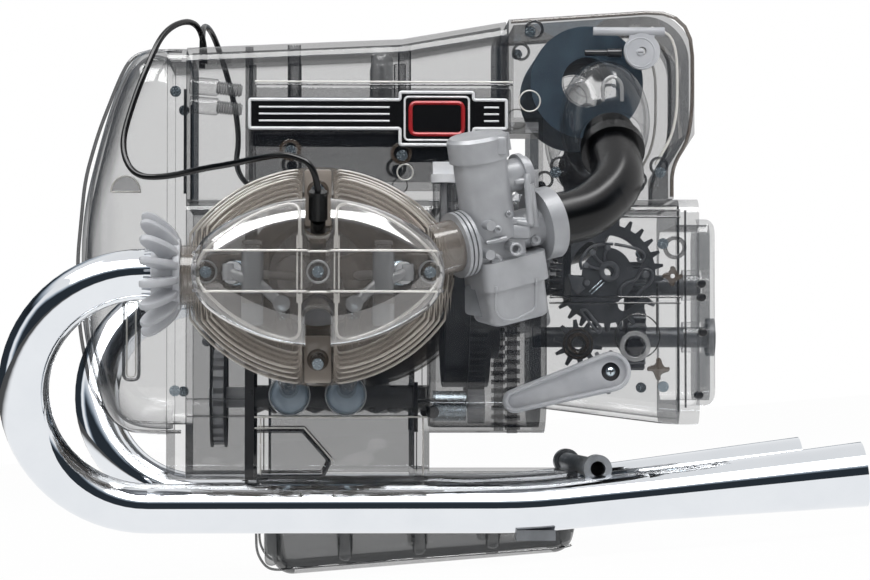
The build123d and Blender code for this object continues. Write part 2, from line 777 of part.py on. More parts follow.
def gearbox_outline(inset):
    return Polygon(
        (CASE_REAR_X, GEARBOX_TOP_Z - inset),
        (GEARBOX_REAR_X, GEARBOX_TOP_Z - inset),
        (GEARBOX_REAR_X, GEARBOX_BOTTOM_REAR_Z + inset),
        (CASE_REAR_X, GEARBOX_BOTTOM_FRONT_Z + inset),
        align=None,
    )


def gearbox_prism(inset):
    """The gearbox's body, drawn in by a wall where it is the hollow."""
    half = GEARBOX_HALF_WIDTH - inset
    body = prism_y(gearbox_outline(inset), -half, half)
    long_edges = body.edges().filter_by(lambda e: abs(e.center().Y) > half - CASE_WALL)
    long_edges = long_edges.filter_by(lambda e: abs((e @ 1 - e @ 0).X) > abs((e @ 1 - e @ 0).Z))
    return fillet(long_edges, GEARBOX_CORNER - inset)


def gearbox_housing():
    half = GEARBOX_HALF_WIDTH - CASE_WALL
    shell = gearbox_prism(0) - gearbox_prism(CASE_WALL)
    rib_half = SIDE_RIB / 2
    for side in (-1, 1):
        face = side * GEARBOX_HALF_WIDTH
        out = side * (GEARBOX_HALF_WIDTH + SIDE_RIB)
        shell += block(
            (CASE_REAR_X, GEARBOX_REAR_X), (min(face, out), max(face, out)), (
                SIDE_RIB_Z - rib_half, SIDE_RIB_Z + rib_half
            )
        )
    wall = -half
    pin_end = wall + SELECTOR_PIN
    for axis in (SELECTOR_AXIS, SELECTOR_GEAR_AXIS):
        shell += disc_y((wall - CASE_WALL / 2, pin_end), axis, SELECTOR_PIN_RADIUS)
    shell -= disc_y(
        (-GEARBOX_HALF_WIDTH - CUT_OVER, wall + CUT_OVER), LEVER_AXIS, LEVER_SHAFT_RADIUS + RUNNING_GAP
    )
    return shell


def gearbox_rear_cover():
    plate_outline = Pos(0, (GEARBOX_TOP_Z + GEARBOX_BOTTOM_REAR_Z) / 2) * RectangleRounded(
        2 * GEARBOX_HALF_WIDTH, GEARBOX_TOP_Z - GEARBOX_BOTTOM_REAR_Z, GEARBOX_CORNER
    )
    plate = prism_x(plate_outline, GEARBOX_REAR_X, GEARBOX_END_X)
    bulge_outline = Pos(0, (GEARBOX_TOP_Z + GEARBOX_BOTTOM_REAR_Z) / 2) * RectangleRounded(
        2 * (
            GEARBOX_HALF_WIDTH - REAR_BULGE
        ), GEARBOX_TOP_Z - GEARBOX_BOTTOM_REAR_Z - 2 * REAR_BULGE, GEARBOX_CORNER
    )
    bulge = prism_x(bulge_outline, GEARBOX_END_X - CUT_OVER, GEARBOX_END_X + REAR_BULGE)
    bulge = fillet(bulge.faces().sort_by(Axis.X)[-1].edges(), REAR_BULGE / 2)
    cover = plate + bulge
    hollow_outline = Pos(0, (GEARBOX_TOP_Z + GEARBOX_BOTTOM_REAR_Z) / 2) * RectangleRounded(
        2 * (GEARBOX_HALF_WIDTH - REAR_BULGE - CASE_WALL),
        GEARBOX_TOP_Z - GEARBOX_BOTTOM_REAR_Z - 2 * (REAR_BULGE + CASE_WALL),
        GEARBOX_CORNER - CASE_WALL,
    )
    cover -= prism_x(hollow_outline, GEARBOX_REAR_X - CUT_OVER, GEARBOX_END_X + REAR_BULGE - CASE_WALL)
    reach = (GEARBOX_END_X - CASE_WALL, GEARBOX_END_X + REAR_BULGE)
    for z in (0, output_z):
        cover += disc_x(reach, (0, z), SHAFT_RADIUS + CASE_WALL)
    cover -= disc_x(
        (GEARBOX_REAR_X, GEARBOX_END_X + REAR_BULGE + CUT_OVER), (0, output_z), SHAFT_RADIUS + RUNNING_GAP
    )
    cover -= disc_x(
        (GEARBOX_REAR_X, GEARBOX_END_X + REAR_BULGE - CASE_WALL), (0, 0), SHAFT_RADIUS + RUNNING_GAP
    )
    return cover


def sump_outline(inset):
    return Polygon(
        (SUMP_FRONT_X + inset, CASE_BOTTOM_Z),
        (SUMP_BOTTOM_FRONT[0] + inset, SUMP_BOTTOM_FRONT[1] + inset),
        (SUMP_BOTTOM_REAR[0] - inset, SUMP_BOTTOM_REAR[1] + inset),
        (SUMP_REAR_X - inset, CASE_BOTTOM_Z),
        align=None,
    )


def oil_sump():
    tub = prism_y(sump_outline(0), -SUMP_HALF_WIDTH, SUMP_HALF_WIDTH)
    low = tub.edges().filter_by(lambda e: e.center().Z < CASE_BOTTOM_Z - SUMP_CORNER)
    tub = fillet(low, SUMP_CORNER)
    lip = block(
        (SUMP_FRONT_X - SUMP_LIP / 2, SUMP_REAR_X),
        (-SUMP_HALF_WIDTH - SUMP_LIP / 2, SUMP_HALF_WIDTH + SUMP_LIP / 2),
        (CASE_BOTTOM_Z - SUMP_FLANGE, CASE_BOTTOM_Z),
    )
    tub += lip
    slope = sump_climb / sump_run
    for side in (-1, 1):
        for x in SUMP_RIB_XS:
            bottom = SUMP_BOTTOM_FRONT[1] + slope * (x - SUMP_BOTTOM_FRONT[0]) + SUMP_RIB_LIFT
            tub += rod(
                (x, side * SUMP_HALF_WIDTH, bottom),
                (x, side * SUMP_HALF_WIDTH, CASE_BOTTOM_Z - SUMP_FLANGE / 2),
                SUMP_RIB_RADIUS,
            )
    half = SUMP_HALF_WIDTH - CASE_WALL
    hollow = prism_y(sump_outline(CASE_WALL), -half, half)
    hollow = fillet(
        hollow.edges().filter_by(lambda e: e.center().Z < CASE_BOTTOM_Z - SUMP_CORNER),
        SUMP_CORNER - CASE_WALL,
    )
    return tub - hollow


def case_gaskets():
    """The black joint between chest and case, and the black plate behind the case."""
    ring = Pos(0, (CASE_BOTTOM_Z + CASE_TOP_Z) / 2) * (
        RectangleRounded(2 * CASE_HALF_WIDTH, CASE_TOP_Z - CASE_BOTTOM_Z, CASE_CORNER)
        - RectangleRounded(
            2 * (CASE_HALF_WIDTH - CASE_WALL),
            CASE_TOP_Z - CASE_BOTTOM_Z - 2 * CASE_WALL,
            CASE_CORNER - CASE_WALL,
        )
    )
    return prism_x(ring, CASE_FRONT_X - GASKET_THICKNESS, CASE_FRONT_X)


# Cylinders and heads, drawn for the left side

def left(x, y, z):
    """A place on the left cylinder: X from its axis, Y outwards from the crankshaft."""
    return (LEFT_X + x, -y, z)


def pushrod_line(offset):
    """Both ends of a pushrod's line, from tappet to rocker."""
    hand = 1 if offset > 0 else -1
    return left(offset, TAPPET_END, CAM_Z), left(hand * PUSHROD_OUTER_X, ROCKER_PIVOT_Y, PUSHROD_OUTER_Z)


def pushrod_point(offset, y):
    """The point of a pushrod's line at a distance from the crankshaft."""
    start, end = pushrod_line(offset)
    share = (y - TAPPET_END) / (ROCKER_PIVOT_Y - TAPPET_END)
    return tuple(a + share * (b - a) for a, b in zip(start, end))


def cylinder():
    liner_radius = BORE / 2 + LINER_WALL
    barrel = disc_y((-LINER_START, -HEAD_START), (LEFT_X, 0), liner_radius)
    case_face = CASE_HALF_WIDTH
    for start in (case_face, HEAD_START - FLANGE_THICKNESS):
        barrel += disc_y((-start, -start - FLANGE_THICKNESS), (LEFT_X, 0), FLANGE_RADIUS)
    first = case_face + 2 * FLANGE_THICKNESS
    last = HEAD_START - 2 * FLANGE_THICKNESS - BARREL_FIN_THICKNESS
    fins = Part()
    for index in range(BARREL_FIN_COUNT):
        y = first + (last - first) * index / (BARREL_FIN_COUNT - 1)
        fins += disc_y((-y, -y - BARREL_FIN_THICKNESS), (LEFT_X, 0), BARREL_FIN_RADIUS)
    barrel += fins
    for offset in (-PUSHROD_INNER_X, PUSHROD_INNER_X):
        start = pushrod_point(offset, LINER_START)
        end = pushrod_point(offset, HEAD_START + 2 * PUSH_TUBE_RADIUS)
        barrel -= rod(start, end, PUSH_TUBE_RADIUS + AIR_GAP)
    return barrel - disc_y((-LINER_START + CUT_OVER, -HEAD_START - CUT_OVER), (LEFT_X, 0), BORE / 2)


def valve_place(hand, along):
    """A point on a valve's axis, measured outwards from its seat."""
    tilt = radians(VALVE_TILT)
    return left(hand * (VALVE_OFFSET + along * sin(tilt)), VALVE_SEAT + along * cos(tilt), 0)


def head_plate(share, y_start, y_end, notched=True):
    """One fin of the head; the notches leave room for the plug and the head screws."""
    half_width = FIN_HALF_WIDTH * share
    half_height = FIN_HALF_HEIGHT * share
    outline = lens(half_width, half_height, FIN_TIP_RADIUS * share)
    if notched:
        outline -= notch(NOTCH_HALF_WIDTH, NOTCH_TOP_Z, FIN_HALF_HEIGHT + CUT_OVER)
        outline -= notch(NOTCH_HALF_WIDTH, NOTCH_BOTTOM_Z, -FIN_HALF_HEIGHT - CUT_OVER)
    return prism_y(Pos(LEFT_X, 0) * outline, -y_end, -y_start)


def port_line(hand):
    """The inner end, the outer end and a point past it of a port's outer run."""
    if hand < 0:
        mouth = -FIN_HALF_WIDTH - PORT_STUB
        places = [left(x, PORT_AXIS, 0) for x in (-2 * VALVE_OFFSET, mouth, mouth - CUT_OVER)]
        return places
    frame = carb_frame()
    runs = (-INTAKE_FACE - PORT_RUN, -INTAKE_FACE, -INTAKE_FACE + CUT_OVER)
    return [tuple(frame.from_local_coords(Vector(x, 0, 0))) for x in runs]


def head():
    base_end = HEAD_START + HEAD_BASE
    body = head_plate(1, HEAD_START, base_end, notched=False)
    core = lens(CORE_HALF_WIDTH, CORE_HALF_HEIGHT, FIN_TIP_RADIUS)
    core -= notch(NOTCH_HALF_WIDTH, NOTCH_TOP_Z, CORE_HALF_HEIGHT + CUT_OVER)
    core -= notch(NOTCH_HALF_WIDTH, NOTCH_BOTTOM_Z, -CORE_HALF_HEIGHT - CUT_OVER)
    body += prism_y(Pos(LEFT_X, 0) * core, -HEAD_END, -base_end)
    pitch = (HEAD_END - base_end) / FIN_COUNT
    for index in range(FIN_COUNT):
        step_share = (index + 1) / FIN_COUNT
        share = 1 - (1 - FIN_SHRINK_SHARE) * step_share
        end = base_end + pitch * (index + 1)
        body += head_plate(share, end - FIN_THICKNESS, end)
    for hand in (-1, 1):
        inner, mouth, past = port_line(hand)
        body += rod(inner, mouth, PORT_COLLAR if hand < 0 else CLAMP_SLEEVE_RADIUS)
        body -= rod(inner, past, PORT_RADIUS)
        if hand > 0:
            sleeve_end = carb_frame().from_local_coords(Vector(-INTAKE_FACE + CLAMP_LENGTH, 0, 0))
            body -= rod(mouth, tuple(sleeve_end), CLAMP_RADIUS + AIR_GAP)
        body -= rod(
            valve_place(
                hand, -VALVE_HEAD_RADIUS
            ), valve_place(hand, VALVE_POCKET), VALVE_HEAD_RADIUS + AIR_GAP
        )
        body -= rod(valve_place(hand, 0), valve_place(hand, VALVE_LENGTH), VALVE_STEM_RADIUS + RUNNING_GAP)
        deck = (HEAD_END - VALVE_SEAT) / cos(radians(VALVE_TILT))
        body -= rod(
            valve_place(
                hand, deck - SPRING_POCKET
            ), valve_place(hand, VALVE_LENGTH), RETAINER_RADIUS + SPRING_ROOM
        )
        offset = hand * PUSHROD_INNER_X
        body -= rod(
            pushrod_point(offset, CASE_HALF_WIDTH),
            pushrod_point(offset, HEAD_END + CUT_OVER),
            PUSH_TUBE_BORE,
        )
    body -= rod(left(VALVE_OFFSET, PORT_AXIS, 0), port_line(1)[0], PORT_RADIUS - CUT_OVER)
    body -= disc_y((-HEAD_START + CUT_OVER, -HEAD_START - CHAMBER_DEPTH), (LEFT_X, 0), BORE / 2)
    body -= rod(BOOT_TOP, BOOT_BEND, BOOT_RADIUS + AIR_GAP)
    body -= rod(BOOT_BEND, PLUG_HOLE_END, BOOT_RADIUS * PLUG_SHARE + AIR_GAP)
    for hand in (-1, 1):
        for z_hand in (-1, 1):
            x = hand * ROCKER_PIVOT_X
            z = z_hand * (ROCKER_HUB_HALF + AIR_GAP + POST_THICKNESS / 2)
            post = block(
                (LEFT_X + x - ROCKER_HUB_RADIUS, LEFT_X + x + ROCKER_HUB_RADIUS),
                (-ROCKER_PIVOT_Y - ROCKER_AXLE_RADIUS - CASE_WALL / 2, -HEAD_END),
                (z - POST_THICKNESS / 2, z + POST_THICKNESS / 2),
            )
            body += post
        body += rod(
            left(hand * ROCKER_PIVOT_X, ROCKER_PIVOT_Y, -ROCKER_HUB_HALF - AIR_GAP - POST_THICKNESS / 2),
            left(hand * ROCKER_PIVOT_X, ROCKER_PIVOT_Y, ROCKER_HUB_HALF + AIR_GAP + POST_THICKNESS / 2),
            ROCKER_AXLE_RADIUS,
        )
    return body


def cover_dome(inset, start):
    """The rounded two-lobed cover, drawn in by a wall where it is the hollow."""
    top = COVER_END - inset
    outline = lens(COVER_HALF_WIDTH - inset, COVER_HALF_HEIGHT - inset, FIN_TIP_RADIUS - inset)
    dome = prism_y(Pos(LEFT_X, 0) * outline, -top, -start)
    dome = fillet(dome.faces().sort_by(Axis.Y)[0].edges(), COVER_EDGE - inset)
    half = COVER_NOTCH_HALF_WIDTH + inset
    slots = notch(half, COVER_NOTCH_TOP_Z - inset, COVER_HALF_HEIGHT + CUT_OVER)
    slots += notch(half, COVER_NOTCH_BOTTOM_Z + inset, -COVER_HALF_HEIGHT - CUT_OVER)
    dome -= prism_y(Pos(LEFT_X, 0) * slots, -top - CUT_OVER, -start + CUT_OVER)
    dome -= block(
        (LEFT_X - half, LEFT_X + half),
        (-top - CUT_OVER, -top + COVER_GROOVE),
        (-COVER_HALF_HEIGHT, COVER_HALF_HEIGHT),
    )
    return dome


def valve_cover():
    outside = cover_dome(0, HEAD_END)
    cover = outside - cover_dome(COVER_WALL, HEAD_END - CUT_OVER)
    for x, floor in ((-TIP_SCREW_X, SCREW_FLOOR), (TIP_SCREW_X, SCREW_FLOOR), (0, CENTRE_SCREW_FLOOR)):
        place = (LEFT_X + x, 0)
        cover += disc_y((-COVER_END, -HEAD_END), place, SCREW_BOSS_RADIUS) & outside
        cover -= disc_y((-COVER_END - CUT_OVER, -floor), place, SCREW_RECESS_RADIUS)
    half = COVER_RIB_THICKNESS / 2
    for z in (-COVER_RIB_Z, COVER_RIB_Z):
        slab = block(
            (
                LEFT_X - FIN_HALF_WIDTH, LEFT_X + FIN_HALF_WIDTH
            ), (-COVER_END - CUT_OVER, -HEAD_END - COVER_WALL), (z - half, z + half)
        )
        cover += (cover_dome(-COVER_RIB_HEIGHT, HEAD_END) & slab) - cover_dome(COVER_RIB_HEIGHT, HEAD_END)
    return cover


def valve(hand):
    foot = valve_place(hand, 0)
    stem_top = valve_place(hand, VALVE_LENGTH)
    piece = rod(foot, stem_top, VALVE_STEM_RADIUS)
    piece += rod(valve_place(hand, -VALVE_HEAD_THICKNESS), foot, VALVE_HEAD_RADIUS)
    neck_top = valve_place(hand, VALVE_POCKET - RUNNING_GAP)
    piece += rod(foot, neck_top, VALVE_HEAD_RADIUS / 2)
    low = VALVE_LENGTH - 2 * RETAINER_THICKNESS
    piece += rod(valve_place(hand, low), valve_place(hand, low + RETAINER_THICKNESS), RETAINER_RADIUS)
    return piece


def rocker(hand):
    """A straight rocker on an upright axle, from pushrod to valve stem."""
    pivot_x = hand * ROCKER_PIVOT_X
    tilt = radians(VALVE_TILT)
    tip_x = hand * (VALVE_OFFSET + VALVE_LENGTH * sin(tilt))
    hub_low = left(pivot_x, ROCKER_PIVOT_Y, -ROCKER_HUB_HALF)
    hub_high = left(pivot_x, ROCKER_PIVOT_Y, ROCKER_HUB_HALF)
    piece = rod(hub_low, hub_high, ROCKER_HUB_RADIUS)
    rod_end = left(hand * PUSHROD_OUTER_X, ROCKER_PIVOT_Y, PUSHROD_OUTER_Z)
    knee = left(pivot_x - hand * ROCKER_ARM_RADIUS, ROCKER_PIVOT_Y, -ROCKER_HUB_HALF / 2)
    piece += rod(rod_end, knee, ROCKER_ARM_RADIUS)
    tip = left(tip_x, ROCKER_PIVOT_Y, 0)
    piece += rod(knee, tip, ROCKER_ARM_RADIUS)
    half = ROCKER_END_RADIUS * ROCKER_CUP_SHARE
    end_y = ROCKER_PIVOT_Y
    piece += rod(
        left(hand * PUSHROD_OUTER_X, end_y - half, PUSHROD_OUTER_Z),
        left(hand * PUSHROD_OUTER_X, end_y + half, PUSHROD_OUTER_Z),
        ROCKER_END_RADIUS,
    )
    piece += rod(
        left(tip_x, end_y, -ROCKER_END_RADIUS), left(tip_x, end_y, ROCKER_END_RADIUS), ROCKER_TIP_RADIUS
    )
    return piece - rod(
        left(pivot_x, ROCKER_PIVOT_Y, -ROCKER_HUB_HALF - CUT_OVER),
        left(pivot_x, ROCKER_PIVOT_Y, ROCKER_HUB_HALF + CUT_OVER),
        ROCKER_AXLE_RADIUS + RUNNING_GAP,
    )


def pushrod(hand):
    """A pushrod with its tappet, which rides the cam."""
    offset = hand * PUSHROD_INNER_X
    cam_end = CAM_BASE_RADIUS + CAM_LIFT + AIR_GAP
    tappet = rod(left(offset, cam_end, CAM_Z), left(offset, TAPPET_END, CAM_Z), TAPPET_RADIUS)
    top = ROCKER_PIVOT_Y - ROCKER_END_RADIUS * ROCKER_CUP_SHARE - AIR_GAP * 2
    return tappet + rod(
        pushrod_point(offset, TAPPET_END - PUSHROD_RADIUS), pushrod_point(offset, top), PUSHROD_RADIUS
    )


def pushrod_tubes():
    """Clear tubes with rubber seals, from the crankcase up to the head."""
    tubes = []
    for hand in (-1, 1):
        offset = hand * PUSHROD_INNER_X
        seal_place = (LEFT_X + offset, CAM_Z + SEAL_LIFT)
        tube = rod(
            pushrod_point(offset, CASE_HALF_WIDTH),
            pushrod_point(offset, HEAD_START + CASE_WALL),
            PUSH_TUBE_RADIUS,
        )
        seal = disc_y((-CASE_HALF_WIDTH - SEAL_LENGTH, -CASE_HALF_WIDTH), seal_place, SEAL_RADIUS)
        seal = chamfer(seal.faces().sort_by(Axis.Y)[0].edges(), SEAL_LENGTH / 2)
        piece = tube + seal
        piece &= block(
            (LEFT_X + offset - 2 * SEAL_RADIUS, LEFT_X + offset + 2 * SEAL_RADIUS),
            (-HEAD_START, -CASE_HALF_WIDTH),
            (CAM_Z - 2 * SEAL_RADIUS, 0),
        )
        piece -= rod(
            pushrod_point(offset, CASE_HALF_WIDTH - SEAL_LENGTH),
            pushrod_point(offset, HEAD_START + CASE_WALL),
            PUSH_TUBE_BORE,
        )
        piece -= disc_y(
            (-CASE_HALF_WIDTH - CASE_WALL / 2, -CASE_HALF_WIDTH + CUT_OVER),
            (LEFT_X + offset, CAM_Z),
            TAPPET_RADIUS + AIR_GAP,
        )
        tubes.append(piece)
    return tubes


# Running gear

def web_slot(length, radius):
    return SlotCenterToCenter(length, radius * 2, rotation=0)


def crankshaft():
    """Front nose, two throws half a turn apart and the flywheel flange."""
    throw = CRANK_RADIUS
    pin_inner = CENTRE_WEB / 2
    pin_outer = pin_inner + PIN_LENGTH
    web_outer = pin_outer + WEB_THICKNESS
    shaft = disc_x((CRANK_NOSE_X, -web_outer), (0, 0), CRANK_NOSE_RADIUS)
    shaft += disc_x((CASE_FRONT_X - AIR_GAP, -web_outer), (0, 0), JOURNAL_RADIUS)
    shaft += disc_x((web_outer, FLYWHEEL_FRONT_X - FLANGE_PLATE), (0, 0), JOURNAL_RADIUS)
    shaft += disc_x((FLYWHEEL_FRONT_X - FLANGE_PLATE, FLYWHEEL_FRONT_X), (0, 0), CRANK_FLANGE_RADIUS)
    centre = web_slot(2 * throw, PIN_RADIUS + WEB_RIM)
    for side in (-1, 1):
        centre -= Pos(side * throw / 2, 0) * Circle(DOWEL_RADIUS + RUNNING_GAP)
    shaft += prism_x(centre, -pin_inner, pin_inner)
    for side in (-1, 1):
        pin_span = (-pin_outer, -pin_inner) if side < 0 else (pin_inner, pin_outer)
        shaft += disc_x(pin_span, (side * throw, 0), PIN_RADIUS)
        cheek = Pos(side * throw / 2, 0) * web_slot(throw, PIN_RADIUS + WEB_RIM)
        weight = Circle(COUNTERWEIGHT_RADIUS) & Pos(-side * COUNTERWEIGHT_RADIUS, 0) * Rectangle(
            2 * (COUNTERWEIGHT_RADIUS - WEB_RIM), 2 * COUNTERWEIGHT_RADIUS
        )
        web_span = (-web_outer, -pin_outer) if side < 0 else (pin_outer, web_outer)
        shaft += prism_x(cheek + weight, *web_span)
    sprocket = sprocket_face(CRANK_TEETH)
    half = SPROCKET_WIDTH / 2
    shaft += prism_x(sprocket, SPROCKET_X - half, SPROCKET_X + half)
    return shaft


def sprocket_radius(teeth):
    return SPROCKET_PITCH / (2 * sin(pi / teeth))


def sprocket_face(teeth):
    """A chain sprocket: a disc with a round hollow for each roller."""
    radius = sprocket_radius(teeth)
    face = Circle(radius + ROLLER_RADIUS * SPROCKET_TIP_SHARE)
    for tooth in range(teeth):
        face -= Rot(0, 0, 360 * (tooth + 0.5) / teeth) * Pos(radius, 0) * Circle(ROLLER_RADIUS)
    return face


def flywheel():
    wheel = disc_x((FLYWHEEL_FRONT_X, FLYWHEEL_REAR_X), (0, 0), FLYWHEEL_RADIUS)
    wheel -= disc_x(
        (FLYWHEEL_FRONT_X + FLANGE_PLATE, FLYWHEEL_REAR_X + CUT_OVER), (0, 0), FLYWHEEL_RADIUS - FLYWHEEL_RIM
    )
    ring = gear_face(RING_TEETH, RING_MODULE) - Circle(FLYWHEEL_RADIUS - CUT_OVER)
    ring_end = FLYWHEEL_REAR_X - CASE_WALL
    wheel += prism_x(ring, ring_end - RING_WIDTH, ring_end)
    for index in range(FLYWHEEL_BOLTS):
        angle = 2 * pi * index / FLYWHEEL_BOLTS
        place = (FLYWHEEL_BOLT_CIRCLE * cos(angle), FLYWHEEL_BOLT_CIRCLE * sin(angle))
        wheel -= disc_x((FLYWHEEL_FRONT_X - CUT_OVER, FLYWHEEL_REAR_X), place, FLYWHEEL_BOLT_RADIUS)
    return wheel


def con_rod():
    """The left connecting rod: big end on the crank pin, small end in the piston."""
    y = CRANK_RADIUS
    half = ROD_THICKNESS / 2
    span = (LEFT_X - half, LEFT_X + half)
    big = PIN_RADIUS + BIG_END_WALL
    small_y = y + ROD_LENGTH
    shank_start = y + big * SHANK_START_SHARE
    piece = disc_x(span, (-y, 0), big)
    piece += disc_x(span, (-small_y, 0), SMALL_END_RADIUS)
    web = half * SHANK_WEB_SHARE
    shank_outline = Polygon(
        (-shank_start, -SMALL_END_RADIUS),
        (-small_y, -SMALL_END_RADIUS * SHANK_TAPER_SHARE),
        (-small_y, SMALL_END_RADIUS * SHANK_TAPER_SHARE),
        (-shank_start, SMALL_END_RADIUS),
        align=None,
    )
    piece += prism_x(shank_outline, LEFT_X - web, LEFT_X + web)
    piece -= disc_x((span[0] - CUT_OVER, span[1] + CUT_OVER), (-y, 0), PIN_RADIUS + RUNNING_GAP)
    pin_half = PISTON_SLOT / 2 - AIR_GAP
    return piece + disc_x((LEFT_X - pin_half, LEFT_X + pin_half), (-small_y, 0), GUDGEON_RADIUS)


def piston():
    """A slipper piston whose two ears stand either side of the rod."""
    pin_y = CRANK_RADIUS + ROD_LENGTH
    radius = BORE / 2 - RUNNING_GAP
    top = pin_y + PISTON_TOP
    low = pin_y - PISTON_SKIRT
    body = disc_y((-top, -low), (LEFT_X, 0), radius)
    slot_half = PISTON_SLOT / 2
    body -= block(
        (LEFT_X - slot_half, LEFT_X + slot_half), (-pin_y - PISTON_CROWN, -low + CUT_OVER), (-BORE, BORE)
    )
    pitch = (PISTON_TOP - PISTON_CROWN) / (RING_COUNT + 1)
    for index in range(RING_COUNT):
        y = pin_y + PISTON_CROWN + pitch * (index + 1)
        groove = pipe((LEFT_X, -y, 0), (LEFT_X, -y - RING_GROOVE, 0), BORE, radius - RING_DEPTH)
        body -= groove
    return body


def crank_dowel():
    """The left round dowel in the crankshaft's centre web."""
    half = CENTRE_WEB / 2 - AIR_GAP
    return disc_x((-half, half), (-CRANK_RADIUS / 2, 0), DOWEL_RADIUS)


def camshaft():
    shaft = disc_x((SPROCKET_X - SPROCKET_WIDTH, CASE_STEP_X - AIR_GAP), (0, CAM_Z), CAM_SHAFT_RADIUS)
    lobe_angles = iter(CAM_LOBE_ANGLES)
    for x in (LEFT_X, -LEFT_X):
        for offset in (-PUSHROD_INNER_X, PUSHROD_INNER_X):
            angle = radians(next(lobe_angles))
            reach = CAM_BASE_RADIUS + CAM_LIFT - CAM_TIP_RADIUS
            tip = (reach * cos(angle), reach * sin(angle))
            lobe = make_hull((Circle(CAM_BASE_RADIUS) + Pos(*tip) * Circle(CAM_TIP_RADIUS)).edges())
            lobe = Pos(0, CAM_Z) * lobe
            middle = x + offset
            shaft += prism_x(lobe, middle - CAM_LOBE_WIDTH / 2, middle + CAM_LOBE_WIDTH / 2)
    half = SPROCKET_WIDTH / 2
    sprocket = Pos(0, CAM_Z) * (sprocket_face(CAM_TEETH) - sprocket_windows())
    shaft += prism_x(sprocket, SPROCKET_X - half, SPROCKET_X + half)
    return shaft


def sprocket_windows():
    holes = Sketch()
    for index in range(WINDOW_COUNT):
        holes += Rot(0, 0, 360 * index / WINDOW_COUNT) * Pos(WINDOW_CIRCLE, 0) * Circle(WINDOW_RADIUS)
    return holes


def timing_chain():
    """The chain's two rows of side plates, one each side of the sprockets."""
    small = sprocket_radius(CRANK_TEETH)
    large = sprocket_radius(CAM_TEETH)
    half_height = CHAIN_HEIGHT / 2

    def band(extra):
        circles = Circle(small + extra) + Pos(0, CAM_Z) * Circle(large + extra)
        return make_hull(circles.edges())

    loop = band(half_height) - band(-half_height)
    start = SPROCKET_WIDTH / 2 + AIR_GAP
    rows = []
    for side in (-1, 1):
        near = SPROCKET_X + side * start
        far = near + side * CHAIN_PLATE
        rows.append(prism_x(loop, min(near, far), max(near, far)))
    return rows


# Motor and gearbox


def drive_motor():
    end = FLYWHEEL_REAR_X - CASE_WALL - RING_WIDTH - CUT_OVER
    start = CASE_STEP_X + CASE_WALL
    body = disc_x((start, end), MOTOR_PLACE, MOTOR_RADIUS)
    flats = block(
        (start, end),
        (MOTOR_PLACE[0] - MOTOR_RADIUS, MOTOR_PLACE[0] + MOTOR_RADIUS),
        (MOTOR_PLACE[1] - MOTOR_RADIUS * MOTOR_FLAT_SHARE, MOTOR_PLACE[1] + MOTOR_RADIUS * MOTOR_FLAT_SHARE),
    )
    body &= flats
    return body - disc_x(
        (start + CASE_WALL - AIR_GAP, end + CUT_OVER), MOTOR_PLACE, MOTOR_SHAFT_RADIUS + RUNNING_GAP
    )


def motor_pinion():
    ring_end = FLYWHEEL_REAR_X - CASE_WALL
    start = ring_end - RING_WIDTH
    phase = mesh_phase(0, RING_TEETH, MOTOR_TEETH, MOTOR_ANGLE)
    face = Pos(*MOTOR_PLACE) * gear_face(MOTOR_TEETH, RING_MODULE, phase)
    return prism_x(face, start, ring_end) + disc_x(
        (CASE_STEP_X + 2 * CASE_WALL, ring_end), MOTOR_PLACE, MOTOR_SHAFT_RADIUS
    )


def input_shaft():
    rear = GEARBOX_END_X + REAR_BULGE - CASE_WALL - AIR_GAP
    shaft = disc_x((FLYWHEEL_REAR_X + AIR_GAP, rear), (0, 0), SHAFT_RADIUS)
    shaft += disc_x((FLYWHEEL_REAR_X + AIR_GAP, FLYWHEEL_REAR_X + CLUTCH_THICKNESS), (0, 0), CLUTCH_RADIUS)
    shaft += prism_x(gear_face(INPUT_TEETH, GEAR_MODULE), GEAR_X, GEAR_X + GEAR_WIDTH)
    return shaft


def output_shaft():
    rear = GEARBOX_END_X + REAR_BULGE + OUTPUT_STUB
    shaft = disc_x((CASE_REAR_X - CASE_WALL, rear), (0, output_z), SHAFT_RADIUS)
    flange_start = GEARBOX_END_X + REAR_BULGE + AIR_GAP
    shaft += disc_x((flange_start, rear), (0, output_z), OUTPUT_FLANGE_RADIUS)
    phase = mesh_phase(0, INPUT_TEETH, OUTPUT_TEETH, -90)
    face = Pos(0, output_z) * gear_face(OUTPUT_TEETH, GEAR_MODULE, phase)
    return shaft + prism_x(face, GEAR_X, GEAR_X + GEAR_WIDTH)


selector_gear_phase = mesh_phase(lever_phase, LEVER_GEAR_TEETH, SELECTOR_GEAR_TEETH, selector_gear_bearing)
selector_phase = mesh_phase(selector_gear_phase, SELECTOR_GEAR_TEETH, SELECTOR_TEETH, selector_bearing)


def selector_gear():
    face = gear_face(
        SELECTOR_GEAR_TEETH, SELECTOR_MODULE, selector_gear_phase
    ) - Circle(SELECTOR_PIN_RADIUS + RUNNING_GAP)
    return prism_y(Pos(*SELECTOR_GEAR_AXIS) * face, SELECTOR_START, SELECTOR_START + SELECTOR_THICKNESS)


def selector_plate():
    """The slotted selector plate, toothed along one side."""
    face = gear_face(
        SELECTOR_TEETH, SELECTOR_MODULE, selector_phase
    ) - Circle(SELECTOR_PIN_RADIUS + RUNNING_GAP)
    radius = SELECTOR_TEETH * SELECTOR_MODULE / 2
    for start, sweep, at_share in SELECTOR_SLOTS:
        arc = CenterArc((0, 0), radius * at_share, start, sweep)
        face -= SlotArc(arc, SELECTOR_SLOT_WIDTH)
    return prism_y(Pos(*SELECTOR_AXIS) * face, SELECTOR_START, SELECTOR_START + SELECTOR_THICKNESS)


